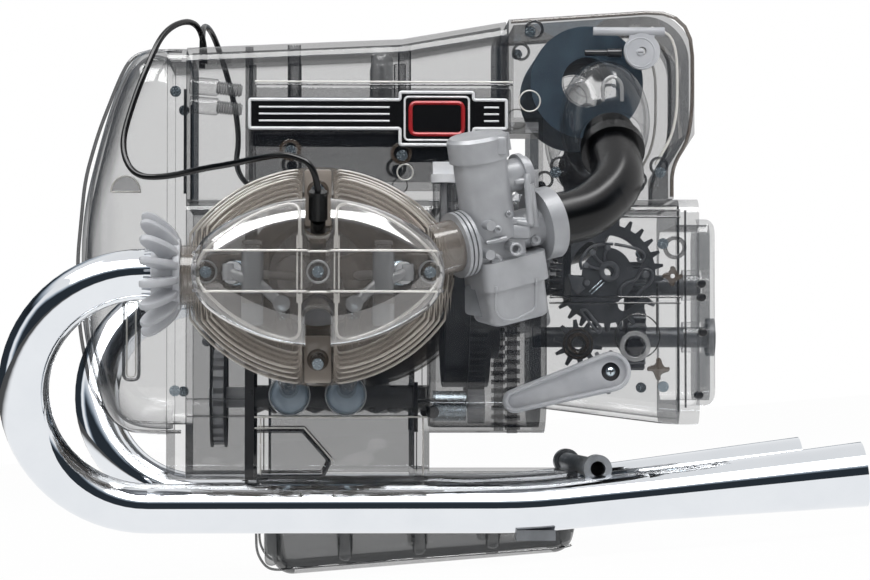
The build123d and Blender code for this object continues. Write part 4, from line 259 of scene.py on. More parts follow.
@dataclass(frozen=True)
class SeeThrough:
    """Clear moulded plastic: a thin veil, dark where it is seen edge on, under a clear gloss."""

    veil_tone: Colour
    edge_tone: Colour
    veil: float
    edge: float
    rise: float = 2.0
    rough: float = 0.03
    shine: float = 1.0

    def dress(self, book: NodeBook) -> None:
        """Build the nodes."""
        rim = book.facing() ** self.rise
        flow = book.noise(26.0, 2.0)
        waves = book.bump(book.noise(38.0, 1.0), 0.12, 0.002)
        tint = book.blend(flow * 0.3, self.veil_tone, self.edge_tone)
        body = book.signal("ShaderNodeBsdfPrincipled", 0, {
            "Base Color": book.blend(rim, tint, self.edge_tone),
            "Roughness": 0.5,
            "Specular IOR Level": 0.0,
            "Alpha": rim * (self.edge - self.veil) + self.veil,
        })
        gloss = book.signal("ShaderNodeBsdfAnisotropic", 0, {
            "Color": WHITE_LIGHT, "Roughness": self.rough, "Normal": waves,
        })
        mirror = book.signal("ShaderNodeFresnel", 0, {"IOR": 1.5, "Normal": waves})
        mirror = mirror * (1 - book.signal("ShaderNodeNewGeometry", "Backfacing"))
        skin = book.signal(
            "ShaderNodeMixShader", 0, {0: mirror * self.shine, 1: body, 2: gloss}
        )
        book.node("ShaderNodeOutputMaterial", {"Surface": skin})


@dataclass(frozen=True)
class Moulded:
    """Opaque moulded plastic or rubber with a fine grain and a slight change of tone."""

    light: Colour
    dark: Colour
    rough: float
    grain: float = 0.15
    grain_scale: float = 2600.0
    patch_scale: float = 90.0
    gloss: float = 0.5

    def dress(self, book: NodeBook) -> None:
        """Build the nodes."""
        patch = book.noise(self.patch_scale)
        grain = book.noise(self.grain_scale, 2.0)
        book.surface({
            "Base Color": book.blend(patch.ramp(0.3, 0.7), self.light, self.dark),
            "Roughness": self.rough + (patch - 0.5) * 0.12,
            "Specular IOR Level": self.gloss,
            "Normal": book.bump(grain, self.grain, 0.0002),
        })


@dataclass(frozen=True)
class Metal:
    """Plated or plain metal with faint waves and wipe marks."""

    light: Colour
    dark: Colour
    rough: float
    waves: float = 0.02
    patch_scale: float = 60.0

    def dress(self, book: NodeBook) -> None:
        """Build the nodes."""
        patch = book.noise(self.patch_scale)
        marks = book.noise(900.0, 4.0)
        book.surface({
            "Base Color": book.blend(patch, self.light, self.dark),
            "Metallic": 1.0,
            "Roughness": self.rough + marks.ramp(0.55, 0.8) * self.rough,
            "Normal": book.bump(book.noise(30.0, 1.0), self.waves, 0.002),
        })


class Finish(Enum):
    """The finishes of the model."""

    SMOKED = SeeThrough(tone(52, 54, 58), tone(50, 54, 60), 0.27, 0.66, 2.0)
    LID = SeeThrough(tone(54, 56, 60), tone(50, 54, 60), 0.12, 0.58, 2.2)
    AIR = SeeThrough(tone(66, 68, 72), tone(96, 96, 98), 0.14, 0.5, 2.4)
    CLEAR = SeeThrough(tone(64, 67, 71), tone(66, 70, 76), 0.11, 0.62, 2.2)
    WARM = SeeThrough(tone(148, 140, 132), tone(120, 112, 104), 0.34, 0.74, 1.8)
    COVER = SeeThrough(tone(84, 84, 86), tone(92, 90, 88), 0.06, 0.6, 2.2, 0.03, 3.2)
    REAR = SeeThrough(tone(120, 124, 128), tone(130, 133, 137), 0.08, 0.42, 2.4)
    # Painted highlight: the bright cream colour of the fin edge beads.
    FIN = SeeThrough(tone(196, 190, 182), tone(214, 208, 200), 0.6, 0.9)
    PLATE = SeeThrough(tone(178, 169, 160), tone(150, 142, 134), 0.75, 0.92)
    # Painted highlight: the bright lines round the valve cover lenses and along their split.
    RIM = SeeThrough(tone(198, 196, 192), tone(228, 226, 222), 0.5, 0.9)
    SUMP = SeeThrough(tone(84, 87, 90), tone(34, 36, 40), 0.42, 0.92)
    SHADE = SeeThrough(tone(34, 37, 43), tone(16, 18, 22), 0.5, 0.92)
    PANEL = SeeThrough(tone(50, 53, 58), tone(26, 28, 32), 0.3, 0.85)
    FROST = SeeThrough(tone(176, 177, 178), tone(120, 122, 125), 0.5, 0.92)
    # Painted highlight: bright cream lines where edges, ribs and rings of the clear plastic catch
    # the light.
    EDGE = SeeThrough(tone(228, 225, 220), tone(240, 238, 234), 0.75, 0.95)
    LINE = SeeThrough(tone(52, 54, 59), tone(30, 32, 36), 0.66, 0.95)
    MID_GREY = Moulded(tone(124, 127, 131), tone(106, 109, 113), 0.36, 0.15)
    RIB_GREY = Moulded(tone(104, 107, 112), tone(86, 89, 94), 0.36, 0.15)
    BRONZE = SeeThrough(tone(92, 80, 70), tone(52, 44, 38), 0.66, 0.95)
    RUBBER = Moulded(tone(7, 8, 10), tone(4, 5, 6), 0.24, 0.03, 900.0, 60.0, 0.34)
    GASKET = Moulded(tone(24, 26, 31), tone(14, 15, 19), 0.3)
    SILVER = Moulded(tone(160, 162, 166), tone(144, 146, 150), 0.34, 0.15, 2200.0, 70.0, 0.9)
    CHROME = Metal(tone(234, 237, 241), tone(224, 228, 233), 0.035)
    LIGHT_GREY = Moulded(tone(186, 188, 192), tone(170, 172, 177), 0.5, 0.3, 2600.0, 80.0, 0.45)
    DARK_GREY = Moulded(tone(88, 91, 96), tone(68, 71, 76), 0.42)
    WHITE = Moulded(tone(232, 233, 235), tone(216, 218, 221), 0.35)
    FILTER = Moulded(tone(58, 80, 96), tone(42, 62, 78), 0.6, 0.5, 1500.0)
    BADGE = Moulded(tone(15, 15, 17), tone(9, 9, 11), 0.22, 0.03)
    ZINC = Metal(tone(206, 216, 222), tone(168, 182, 192), 0.24)
    RED = Moulded(tone(176, 34, 40), tone(150, 26, 32), 0.3, 0.05)
    SEAL = Moulded(tone(120, 134, 146), tone(98, 112, 124), 0.3, 0.05, 900.0, 80.0, 0.7)

    def material(self) -> Any:
        """Return this finish's material, made when first asked for."""
        name = f"{self.name.lower()}_finish"
        found = bpy.data.materials.get(name)
        if found is None:
            found = bpy.data.materials.new(name)
            found.use_nodes = True
            self.value.dress(NodeBook(found.node_tree))
        return found


SLOT_FINISH: dict[str, Finish] = {
    "smoked_clear": Finish.SMOKED,
    "clear": Finish.CLEAR,
    "warm_clear": Finish.WARM,
    "sump_grey": Finish.SUMP,
    "black_rubber": Finish.RUBBER,
    "gasket_black": Finish.GASKET,
    "silver_plastic": Finish.SILVER,
    "chrome_plate": Finish.CHROME,
    "light_grey": Finish.LIGHT_GREY,
    "dark_grey": Finish.DARK_GREY,
    "white_plastic": Finish.WHITE,
    "filter_dark": Finish.FILTER,
    "badge_black": Finish.BADGE,
    "zinc_steel": Finish.ZINC,
}

NODE_FINISH: dict[str, Finish] = {
    "exhaust_rocker_left": Finish.FROST,
    "exhaust_rocker_right": Finish.FROST,
    "intake_rocker_left": Finish.FROST,
    "intake_rocker_right": Finish.FROST,
    "crossover_pipe": Finish.MID_GREY,
    "output_shaft": Finish.RIB_GREY,
    "top_cover": Finish.LID,
    "airbox": Finish.AIR,
    "valve_covers": Finish.COVER,
    "gearbox_rear_cover": Finish.REAR,
}


# Modelling


@dataclass
class Workshop:
    """Models pieces with Blender's tools in engine millimetres and puts them on the engine."""

    smooth_angle: float = math.radians(38)
    least_radius: float = 0.02
    merge: float = 0.001

    def clear(self) -> None:
        """Leave edit mode and deselect everything."""
        if bpy.context.object is not None and bpy.context.object.mode != "OBJECT":
            bpy.ops.object.mode_set(mode="OBJECT")
        bpy.ops.object.select_all(action="DESELECT")

    def edit(self, piece: Any) -> None:
        """Open one piece in edit mode with all of it selected."""
        self.clear()
        bpy.context.view_layer.objects.active = piece
        piece.select_set(True)
        bpy.ops.object.mode_set(mode="EDIT")
        bpy.ops.mesh.select_all(action="SELECT")

    def close(self, piece: Any, merge: float = 0.0) -> Any:
        """Merge doubles, turn every face outwards and leave edit mode."""
        bpy.ops.mesh.select_all(action="SELECT")
        bpy.ops.mesh.remove_doubles(threshold=merge)
        bpy.ops.mesh.normals_make_consistent(inside=False)
        bpy.ops.object.mode_set(mode="OBJECT")
        return piece

    def turned(self, profile: Sequence[Flat], foot: Sequence[float], way: Sequence[float],
               sides: int = 32) -> Any:
        """Turn a profile about an axis, from a disc that is extruded and resized ring by ring.

        Args:
            profile: Radius and height of each ring, from the foot up.
            foot: Where height zero is.
            way: The axis, from the foot up.
            sides: The sides of each ring.

        Returns:
            The piece.
        """
        self.clear()
        radius, height = profile[0]
        radius, base = max(radius, self.least_radius), height
        bpy.ops.mesh.primitive_circle_add(vertices=sides, radius=radius, fill_type="NGON")
        piece = bpy.context.object
        bpy.ops.object.mode_set(mode="EDIT")
        bpy.ops.mesh.select_mode(type="FACE")
        bpy.ops.mesh.select_all(action="SELECT")
        for wide, high in profile[1:]:
            wide = max(wide, self.least_radius)
            bpy.ops.mesh.extrude_region_move(
                TRANSFORM_OT_translate={"value": (0, 0, high - height)}
            )
            bpy.ops.transform.resize(
                value=(wide / radius, wide / radius, 1), center_override=(0, 0, high - base)
            )
            radius, height = wide, high
        self.close(piece)
        turn = Vector(UP).rotation_difference(Vector(way)).to_matrix().to_4x4()
        piece.data.transform(
            Matrix.Translation(Vector(foot)) @ turn @ Matrix.Translation((0, 0, base))
        )
        return piece

    def rod(self, start: Sequence[float], end: Sequence[float], radius: float,
            round_off: float = 0.4, sides: int = 20) -> Any:
        """Return a bar with rounded ends between two points."""
        way = Vector(end) - Vector(start)
        length = way.length
        soft = min(round_off, radius * 0.8, length * 0.4)
        profile = (
            (radius - soft, 0), (radius - soft * 0.3, soft * 0.3), (radius, soft),
            (radius, length - soft), (radius - soft * 0.3, length - soft * 0.3),
            (radius - soft, length),
        )
        return self.turned(profile, start, way, sides)

    def block(self, centre: Sequence[float], size: Sequence[float], soft: float) -> Any:
        """Return a block with bevelled edges."""
        self.clear()
        bpy.ops.mesh.primitive_cube_add(size=1)
        piece = bpy.context.object
        piece.data.transform(Matrix.Diagonal((*size, 1)))
        self.edit(piece)
        bpy.ops.mesh.bevel(offset=min(soft, min(size) * BEVEL_SHARE), segments=2, affect="EDGES")
        self.close(piece)
        piece.data.transform(Matrix.Translation(Vector(centre)))
        return piece

    def curve(self, name: str, paths: Sequence[Sequence[Sequence[float]]], closed: bool,
              flat: bool, smooth: bool) -> Any:
        """Return a curve object with one spline for each path."""
        data = bpy.data.curves.new(name, "CURVE")
        data.dimensions = "2D" if flat else "3D"
        for path in paths:
            spline = data.splines.new("BEZIER" if smooth else "POLY")
            points = spline.bezier_points if smooth else spline.points
            points.add(len(path) - 1)
            for knot, place in zip(points, path):
                spot = Vector((*place, 0.0)[:3])
                if smooth:
                    knot.co = spot
                    knot.handle_left_type = knot.handle_right_type = "AUTO"
                else:
                    knot.co = (*spot, 1.0)
            spline.use_cyclic_u = closed
        return placed(name, data)

    def to_mesh(self, made: Any) -> Any:
        """Turn a curve object into a closed mesh."""
        self.clear()
        bpy.context.view_layer.objects.active = made
        made.select_set(True)
        bpy.ops.object.convert(target="MESH")
        piece = bpy.context.object
        self.edit(piece)
        return self.close(piece, self.merge)

    def plate(self, outlines: Sequence[Sequence[Flat]], thickness: float, place: Matrix,
              soft: float = 0.3, smooth: bool = False, steps: int = 6) -> Any:
        """Return a plate with bevelled edges.

        Args:
            outlines: Its outline and the outlines of its holes.
            thickness: How thick it is, from its back at the place.
            place: Where its back lies, with its face towards the place's Z.
            soft: The bevel of its edges.
            smooth: Whether the outline is a smooth curve through its points.
            steps: Steps between two points of a smooth outline.

        Returns:
            The piece.
        """
        made = self.curve("plate", outlines, True, True, smooth)
        made.data.fill_mode = "BOTH"
        made.data.resolution_u = steps
        soft = min(soft, thickness * BEVEL_SHARE)
        made.data.extrude = thickness / 2 - soft
        made.data.bevel_depth = soft
        made.data.bevel_resolution = 1
        made.data.offset = -soft
        piece = self.to_mesh(made)
        piece.data.transform(place @ Matrix.Translation((0, 0, thickness / 2)))
        return piece

    def bead(self, path: Sequence[Sequence[float]], radius: float, closed: bool = False,
             place: Matrix | None = None, rounding: int = 2) -> Any:
        """Return a round bead along a path.

        Args:
            path: Its points, joined by straight runs.
            radius: Its radius.
            closed: Whether it closes.
            place: Where it goes, if its points aren't in engine millimetres.
            rounding: Steps of its round section.

        Returns:
            The piece.
        """
        made = self.curve("bead", [path], closed, False, False)
        made.data.bevel_depth = radius
        made.data.bevel_resolution = rounding
        made.data.use_fill_caps = not closed
        piece = self.to_mesh(made)
        piece.data.transform(place or Matrix())
        return piece

    def wall(self, path: Sequence[Flat], height: float, thickness: float, place: Matrix) -> Any:
        """Return a rib that stands along a smooth flat path, from its foot at the place."""
        made = self.curve("wall", [path], False, True, True)
        made.data.fill_mode = "NONE"
        made.data.extrude = height / 2 - thickness / 2
        made.data.bevel_depth = thickness / 2
        made.data.bevel_resolution = 1
        made.data.resolution_u = 5
        made.data.use_fill_caps = True
        piece = self.to_mesh(made)
        piece.data.transform(place @ Matrix.Translation((0, 0, height / 2)))
        return piece

    def washer(self, outer: float, inner: float, thickness: float, back: Sequence[float],
               soft: float) -> Any:
        """Return a flat ring that looks left, with the middle of its back at a point."""
        rings = [circle(outer), circle(inner)]
        return self.plate(rings, thickness, facing_left(*back), soft)

    def copies(self, piece: Any, moves: Sequence[Matrix]) -> list[Any]:
        """Return the piece and copies of it, each with its own mesh, one at each move."""
        made = []
        for move in moves:
            twin = placed(piece.name, piece.data.copy())
            twin.data.transform(move)
            if move.determinant() < 0:
                twin.data.flip_normals()
            made.append(twin)
        bpy.data.objects.remove(piece)
        return made

    def joined(self, pieces: Sequence[Any]) -> Any:
        """Join pieces into one."""
        self.clear()
        for piece in pieces:
            piece.select_set(True)
        bpy.context.view_layer.objects.active = pieces[0]
        if len(pieces) > 1:
            bpy.ops.object.join()
        return bpy.context.view_layer.objects.active

    def done(self, pieces: Sequence[Any], name: str, body: str, slot: str,
             finish: Finish | None = None) -> Any:
        """Join pieces into one, put it on the engine and give it its finish.

        Args:
            pieces: What is joined.
            name: The finished piece's name.
            body: The body that it rides on.
            slot: The record's material slot.
            finish: Its finish, if it isn't the slot's own.

        Returns:
            The finished piece.
        """
        whole = self.joined(pieces)
        whole.select_set(True)
        whole.name = name
        whole.data.name = name
        whole.data.transform(STANCE.matrix())
        whole.data.materials.clear()
        whole.data.materials.append((finish or SLOT_FINISH[slot]).material())
        bpy.ops.object.shade_smooth_by_angle(angle=self.smooth_angle)
        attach(whole, body)
        LOG.info("%s: %d faces", name, len(whole.data.polygons))
        return whole


SHOP = Workshop()


def facing_left(x: float, y: float, z: float) -> Matrix:
    """Return a place whose X is the engine's, Y is up and Z looks out to the left cylinder."""
    return Matrix(((1, 0, 0, x), (0, 0, -1, y), (0, 1, 0, z), (0, 0, 0, 1)))


def mirrored(shift: float = 0.0) -> Matrix:
    """Return the move from a left side detail to its twin on the right.

    Args:
        shift: How much further back the twin sits, millimetres.

    Returns:
        The move.
    """
    return Matrix.Translation((shift, 0, 0)) @ Matrix.Diagonal((1, -1, 1, 1))


def twins(pieces: list[Any], name: str, slot: str, finish: Finish | None = None,
          shift: float = 0.0, both: bool = True) -> list[Any]:
    """Finish pieces of the left side and, where asked, their twin on the right.

    Args:
        pieces: What is joined.
        name: The finished pieces' name, without the side.
        slot: The record's material slot.
        finish: Their finish, if it isn't the slot's own.
        shift: How much further back the right twin sits.
        both: Whether the right side gets it as well.

    Returns:
        The finished pieces, the left one first.
    """
    moves = (Matrix(), mirrored(shift))[:2 if both else 1]
    return [
        SHOP.done([piece], f"{name}_{side}", "engine_case", slot, finish)
        for side, piece in zip(SIDES, SHOP.copies(SHOP.joined(pieces), moves))
    ]


def circle(radius: float, centre: Flat = (0.0, 0.0), sides: int = 40) -> list[Flat]:
    """Return the points of a circle."""
    turn = math.tau / sides
    return [
        (centre[0] + radius * math.cos(i * turn), centre[1] + radius * math.sin(i * turn))
        for i in range(sides)
    ]


def box_outline(low: Flat, high: Flat) -> list[Flat]:
    """Return the four corners of an upright rectangle."""
    return [low, (high[0], low[1]), high, (low[0], high[1])]


def softened(path: Sequence[Flat], radius: float, closed: bool = False,
             steps: int = 5) -> list[Flat]:
    """Round the corners of a flat path.

    Args:
        path: Its corners.
        radius: How far from a corner the rounding starts.
        closed: Whether the path closes.
        steps: Points on each rounding.

    Returns:
        The rounded path.
    """
    spots = [Vector(spot) for spot in path]
    count = len(spots)
    made: list[Flat] = []
    for index, spot in enumerate(spots):
        if not closed and index in (0, count - 1):
            made.append(tuple(spot))
            continue
        before, after = spots[index - 1] - spot, spots[(index + 1) % count] - spot
        start = spot + before.normalized() * min(radius, before.length * CORNER_SHARE)
        end = spot + after.normalized() * min(radius, after.length * CORNER_SHARE)
        for step in range(steps + 1):
            t = step / steps
            made.append(tuple(start * (1 - t) ** 2 + spot * (2 * t * (1 - t)) + end * t * t))
    return made


def lens(reach: float, half: float, tip: float, steps: int = 24) -> list[Flat]:
    """Return the upper half of a pointed oval, from its right tip to its left one.

    Args:
        reach: Half its length.
        half: Half its height.
        tip: The radius of its rounded tips.
        steps: Points on the half.

    Returns:
        The points.
    """
    low, high = half + tip, 60 * half
    for _ in range(HALVINGS):
        big = (low + high) / 2
        flat = math.sqrt(max((big - tip) ** 2 - (big - half) ** 2, 0)) + tip
        low, high = (big, high) if flat < reach else (low, big)
    centre = reach - tip
    limit = math.atan2(centre, big - half)
    made = []
    for step in range(steps + 1):
        angle = math.pi / 2 * (1 - 2 * step / steps)
        if abs(angle) <= limit:
            made.append((big * math.sin(angle), big * math.cos(angle) - (big - half)))
        else:
            side = math.copysign(centre, angle)
            made.append((side + tip * math.sin(angle), tip * math.cos(angle)))
    return made


@dataclass
class Skin:
    """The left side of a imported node, on which trim is laid."""

    name: str
    furthest: float = -math.inf
    start: float = -400.0
    step: float = 1.6

    def __post_init__(self) -> None:
        """Read the node's faces in engine millimetres."""
        mesh = FRAME["nodes"][self.name].data
        back = STANCE.matrix().inverted()
        points = [back @ point.co for point in mesh.vertices]
        self.tree = BVHTree.FromPolygons(points, [tuple(face.vertices) for face in mesh.polygons])

    def depth(self, x: float, z: float, near: float, reach: float) -> float:
        """Return the Y of the surface that is seen from the left.

        Args:
            x: Engine X.
            z: Engine Z.
            near: The Y that is expected there.
            reach: How far from it the surface may be.

        Returns:
            The surface's Y, or the expected one where it is further off.
        """
        hit = self.tree.ray_cast(Vector((x, self.start, z)), Vector((0, 1, 0)))[0]
        return hit.y if hit is not None and abs(hit.y - near) <= reach else near

    def lay(self, path: Sequence[Flat], near: float, reach: float, lift: float,
            closed: bool) -> list[Point]:
        """Lay a flat path of X and Z on the surface, no further out than the skin's limit.

        Args:
            path: The path.
            near: The Y that is expected.
            reach: How far from it the surface may be.
            lift: How far the path stands off.
            closed: Whether the path closes.

        Returns:
            The points.
        """
        ends = [*path, path[0]] if closed else list(path)
        made: list[Point] = []
        for first, second in zip(ends, ends[1:]):
            parts = max(1, math.ceil(math.dist(first, second) / self.step))
            for part in range(parts):
                share = part / parts
                x, z = (a + (b - a) * share for a, b in zip(first, second))
                made.append((x, self.depth(x, z, near, reach) - lift, z))
        if not closed:
            x, z = path[-1]
            made.append((x, self.depth(x, z, near, reach) - lift, z))
        return [(x, max(y, self.furthest), z) for x, y, z in made]

    def bead(self, path: Sequence[Flat], near: float, reach: float, radius: float,
             lift: float = 0.0, closed: bool = False, rounding: int = 2) -> Any:
        """Lay a round bead along a flat path on the surface."""
        spots = self.lay(path, near, reach, lift, closed)
        return SHOP.bead(spots, radius, closed, rounding=rounding)


# Sub-assemblies


@dataclass
class Studio:
    """White room, soft lamps and the camera at the photograph's place."""

    camera_at: Point = (-10.3, -1600.0, -56.3)
    camera_aim: Point = (48.5, 0.0, -2.4)
    view_width: float = math.radians(15.17)
    film_width: float = 36.0
    floor_size: float = 8.0
    ambient: float = 0.5
    softbox: float = 11.0
    darkness: float = 0.93
    dark_tint: Colour = (0.62, 0.80, 1.0, 1.0)
    lamps: tuple[tuple[str, Point, float, float], ...] = (
        ("key", (-300, -1100, 1300), 1.0, 13.0),
        ("fill", (900, -900, 700), 0.8, 3.0),
        ("back", (100, 1300, 1100), 1.0, 7.0),
    )

    def build(self) -> None:
        """Make the camera, the world, the floor and the lamps."""
        self.camera()
        self.world()
        self.floor()
        for lamp in self.lamps:
            self.lamp(*lamp)
        LOG.info("studio ready")

    def camera(self) -> None:
        """Place the camera, level with the engine's own X."""
        data = bpy.data.cameras.new("camera")
        data.sensor_width = self.film_width
        data.sensor_fit = "HORIZONTAL"
        data.lens = self.film_width / 2 / math.tan(self.view_width / 2)
        data.clip_start = 0.05
        camera = placed("camera", data)
        place = STANCE.point(self.camera_at)
        ahead = (STANCE.point(self.camera_aim) - place).normalized()
        right = ahead.cross(STANCE.direction(UP)).normalized()
        above = right.cross(ahead)
        turn = Matrix((right, above, -ahead)).transposed().to_4x4()
        camera.matrix_world = Matrix.Translation(place) @ turn
        bpy.context.scene.camera = camera

    def world(self) -> None:
        """White for the camera, a soft even light, and dark bands for polished metal."""
        world = bpy.data.worlds.new("studio")
        world.use_nodes = True
        bpy.context.scene.world = world
        book = NodeBook(world.node_tree)
        side, depth, height = book.axes(book.signal("ShaderNodeTexCoord", "Generated"))
        seen = book.ray("Camera")
        through = book.ray("Transmission")
        mirrored_ray = book.ray("Glossy")
        # Dark: the room behind the camera, a patch behind the engine and one low on its left.
        front = (depth * -1).ramp(0.1, 0.4)
        band = height.ramp(-0.17, -0.09) * (1 - height.ramp(0.40, 0.60)) * front
        behind = depth.ramp(0.90, 0.965)
        flank = (side * -1).ramp(0.05, 0.35) * depth.ramp(-0.02, 0.14)
        low = height.ramp(-0.8, -0.6) * (1 - height.ramp(0.5, 0.75))
        dark = band.most(behind).most(flank * low)
        # Bright: one lamp above the camera. All the rest is white, a little grey overhead.
        grey = height.ramp(0.3, 1.0) * 0.10
        beyond = height.ramp(0.55, 0.61) * (1 - height.ramp(0.90, 0.95))
        sides = side.ramp(-0.62, -0.56) * (1 - side.ramp(0.44, 0.50))
        softbox = beyond * sides * (1 - depth.ramp(0.05, 0.2)) * self.softbox
        shine = 0.97 - dark * self.darkness - grey + softbox
        # The camera sees plain white, matt surfaces a dimmer room and gloss the bands.
        level = self.ambient + (1 - self.ambient) * seen.most(through)
        level = level + mirrored_ray * (shine - level)
        tint = book.blend(mirrored_ray * dark, WHITE_LIGHT, self.dark_tint)
        ground = book.signal("ShaderNodeBackground", 0, {"Color": tint, "Strength": level})
        book.node("ShaderNodeOutputWorld", {"Surface": ground})

    def floor(self) -> None:
        """A pale floor that looks white and still keeps the engine's shadow."""
        SHOP.clear()
        bpy.ops.mesh.primitive_plane_add(size=self.floor_size, location=(0, 1.2, 0))
        floor = bpy.context.object
        floor.name = "floor"
        floor.data.transform(Matrix.Translation((0, 1.2, 0)))
        floor.location = (0, 0, 0)
        material = bpy.data.materials.new("floor")
        material.use_nodes = True
        book = NodeBook(material.node_tree)
        seen = book.ray("Camera")
        shiny = book.ray("Glossy")
        through = book.ray("Transmission")
        matt = book.signal("ShaderNodeBsdfDiffuse", 0, {"Color": tone(236, 236, 236)})
        across, away, _ = book.axes(book.coordinates())
        far = away.ramp(0.5, 1.3).most((across * -1).ramp(0.4, 0.75)) * shiny
        glow = book.signal("ShaderNodeEmission", 0, {
            "Color": WHITE_LIGHT, "Strength": 1 - far * self.darkness,
        })
        share = seen.most(shiny).most(through) * 0.975
        mixed = book.signal("ShaderNodeMixShader", 0, {0: share, 1: matt, 2: glow})
        book.node("ShaderNodeOutputMaterial", {"Surface": mixed})
        floor.data.materials.append(material)

    def lamp(self, name: str, place: Point, size: float, power: float) -> None:
        """Hang one soft square lamp that looks at the engine.

        Args:
            name: Its name.
            place: Where it hangs, engine millimetres.
            size: Its side in metres.
            power: Its power in watts.
        """
        data = bpy.data.lights.new(name, "AREA")
        data.size = size
        data.energy = power
        lamp = placed(name, data)
        lamp.visible_glossy = False
        spot = STANCE.point(place)
        aim = (STANCE.point((20, 0, 0)) - spot).normalized()
        turn = aim.to_track_quat("-Z", "Y").to_matrix().to_4x4()
        lamp.matrix_world = Matrix.Translation(spot) @ turn


@dataclass
class PlugLeads:
    """The two black leads from the case to the spark plug boots."""

    radius: float = 1.45
    left_route: tuple[Point, ...] = (
        (-64, -14, 107), (-64, -14, 120), (-70, -27, 127.5), (-82, -47, 120), (-89.5, -57, 102),
        (-97, -62, 81), (-101.5, -67, 62), (-95, -74, 48), (-80, -82, 47), (-62, -98, 50),
        (-48.5, -120, 50.5), (-35, -140, 52), (-22, -153, 53), (-9.3, -157.6, 47),
        (-9, -153.05, 33.15),
    )
    right_route: tuple[Point, ...] = (
        (-66, 8, 107), (-66, 8, 121), (-66, 25, 131), (-62, 47, 129), (-56, 57, 112),
        (-51, 68, 93), (-49.5, 86, 77), (-52, 104, 66), (-47, 124, 57), (-32, 142, 53),
        (-17, 152.5, 54), (-3, 157, 54), (8.5, 157.8, 47), (9, 154, 36),
    )

    def build(self) -> None:
        self.lead("left", self.left_route)
        self.lead("right", self.right_route)

    def lead(self, side: str, route: Sequence[Point]) -> None:
        """Make one lead.

        Args:
            side: Which cylinder it serves.
            route: Its control points, engine millimetres.
        """
        data = bpy.data.curves.new(f"plug_lead_{side}_line", "CURVE")
        data.dimensions = "3D"
        data.bevel_depth = self.radius * STANCE.unit
        data.bevel_resolution = 4
        data.resolution_u = 10
        data.use_fill_caps = True
        spline = data.splines.new("NURBS")
        spline.points.add(len(route) - 1)
        for knot, place in zip(spline.points, route):
            knot.co = (*STANCE.point(place), 1.0)
        spline.order_u = 3
        spline.use_endpoint_u = True
        cord = placed(f"plug_lead_{side}_line", data)
        data.materials.append(Finish.RUBBER.material())
        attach(cord, "engine_case")
        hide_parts(f"plug_lead_{side}")
        tuple(STANCE.point(route[0]))
        LOG.info("plug lead %s: %d points", side, len(route))


@dataclass
class Dressing:
    """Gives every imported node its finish."""

    def build(self) -> None:
        """Put each node's finish on its slots."""
        for name, node in FRAME["nodes"].items():
            finish = NODE_FINISH.get(name, SLOT_FINISH[node_slot(name)])
            if not node.material_slots:
                node.data.materials.append(finish.material())
            for holder in node.material_slots:
                holder.material = finish.material()
        LOG.info("dressed %d nodes", len(FRAME["nodes"]))


def node_slot(name: str) -> str:
    """Return the material slot of a node, as the record says."""
    return next(
        part["material_slot"] for part in FRAME["record"]["subparts"] if part["node"] == name
    )


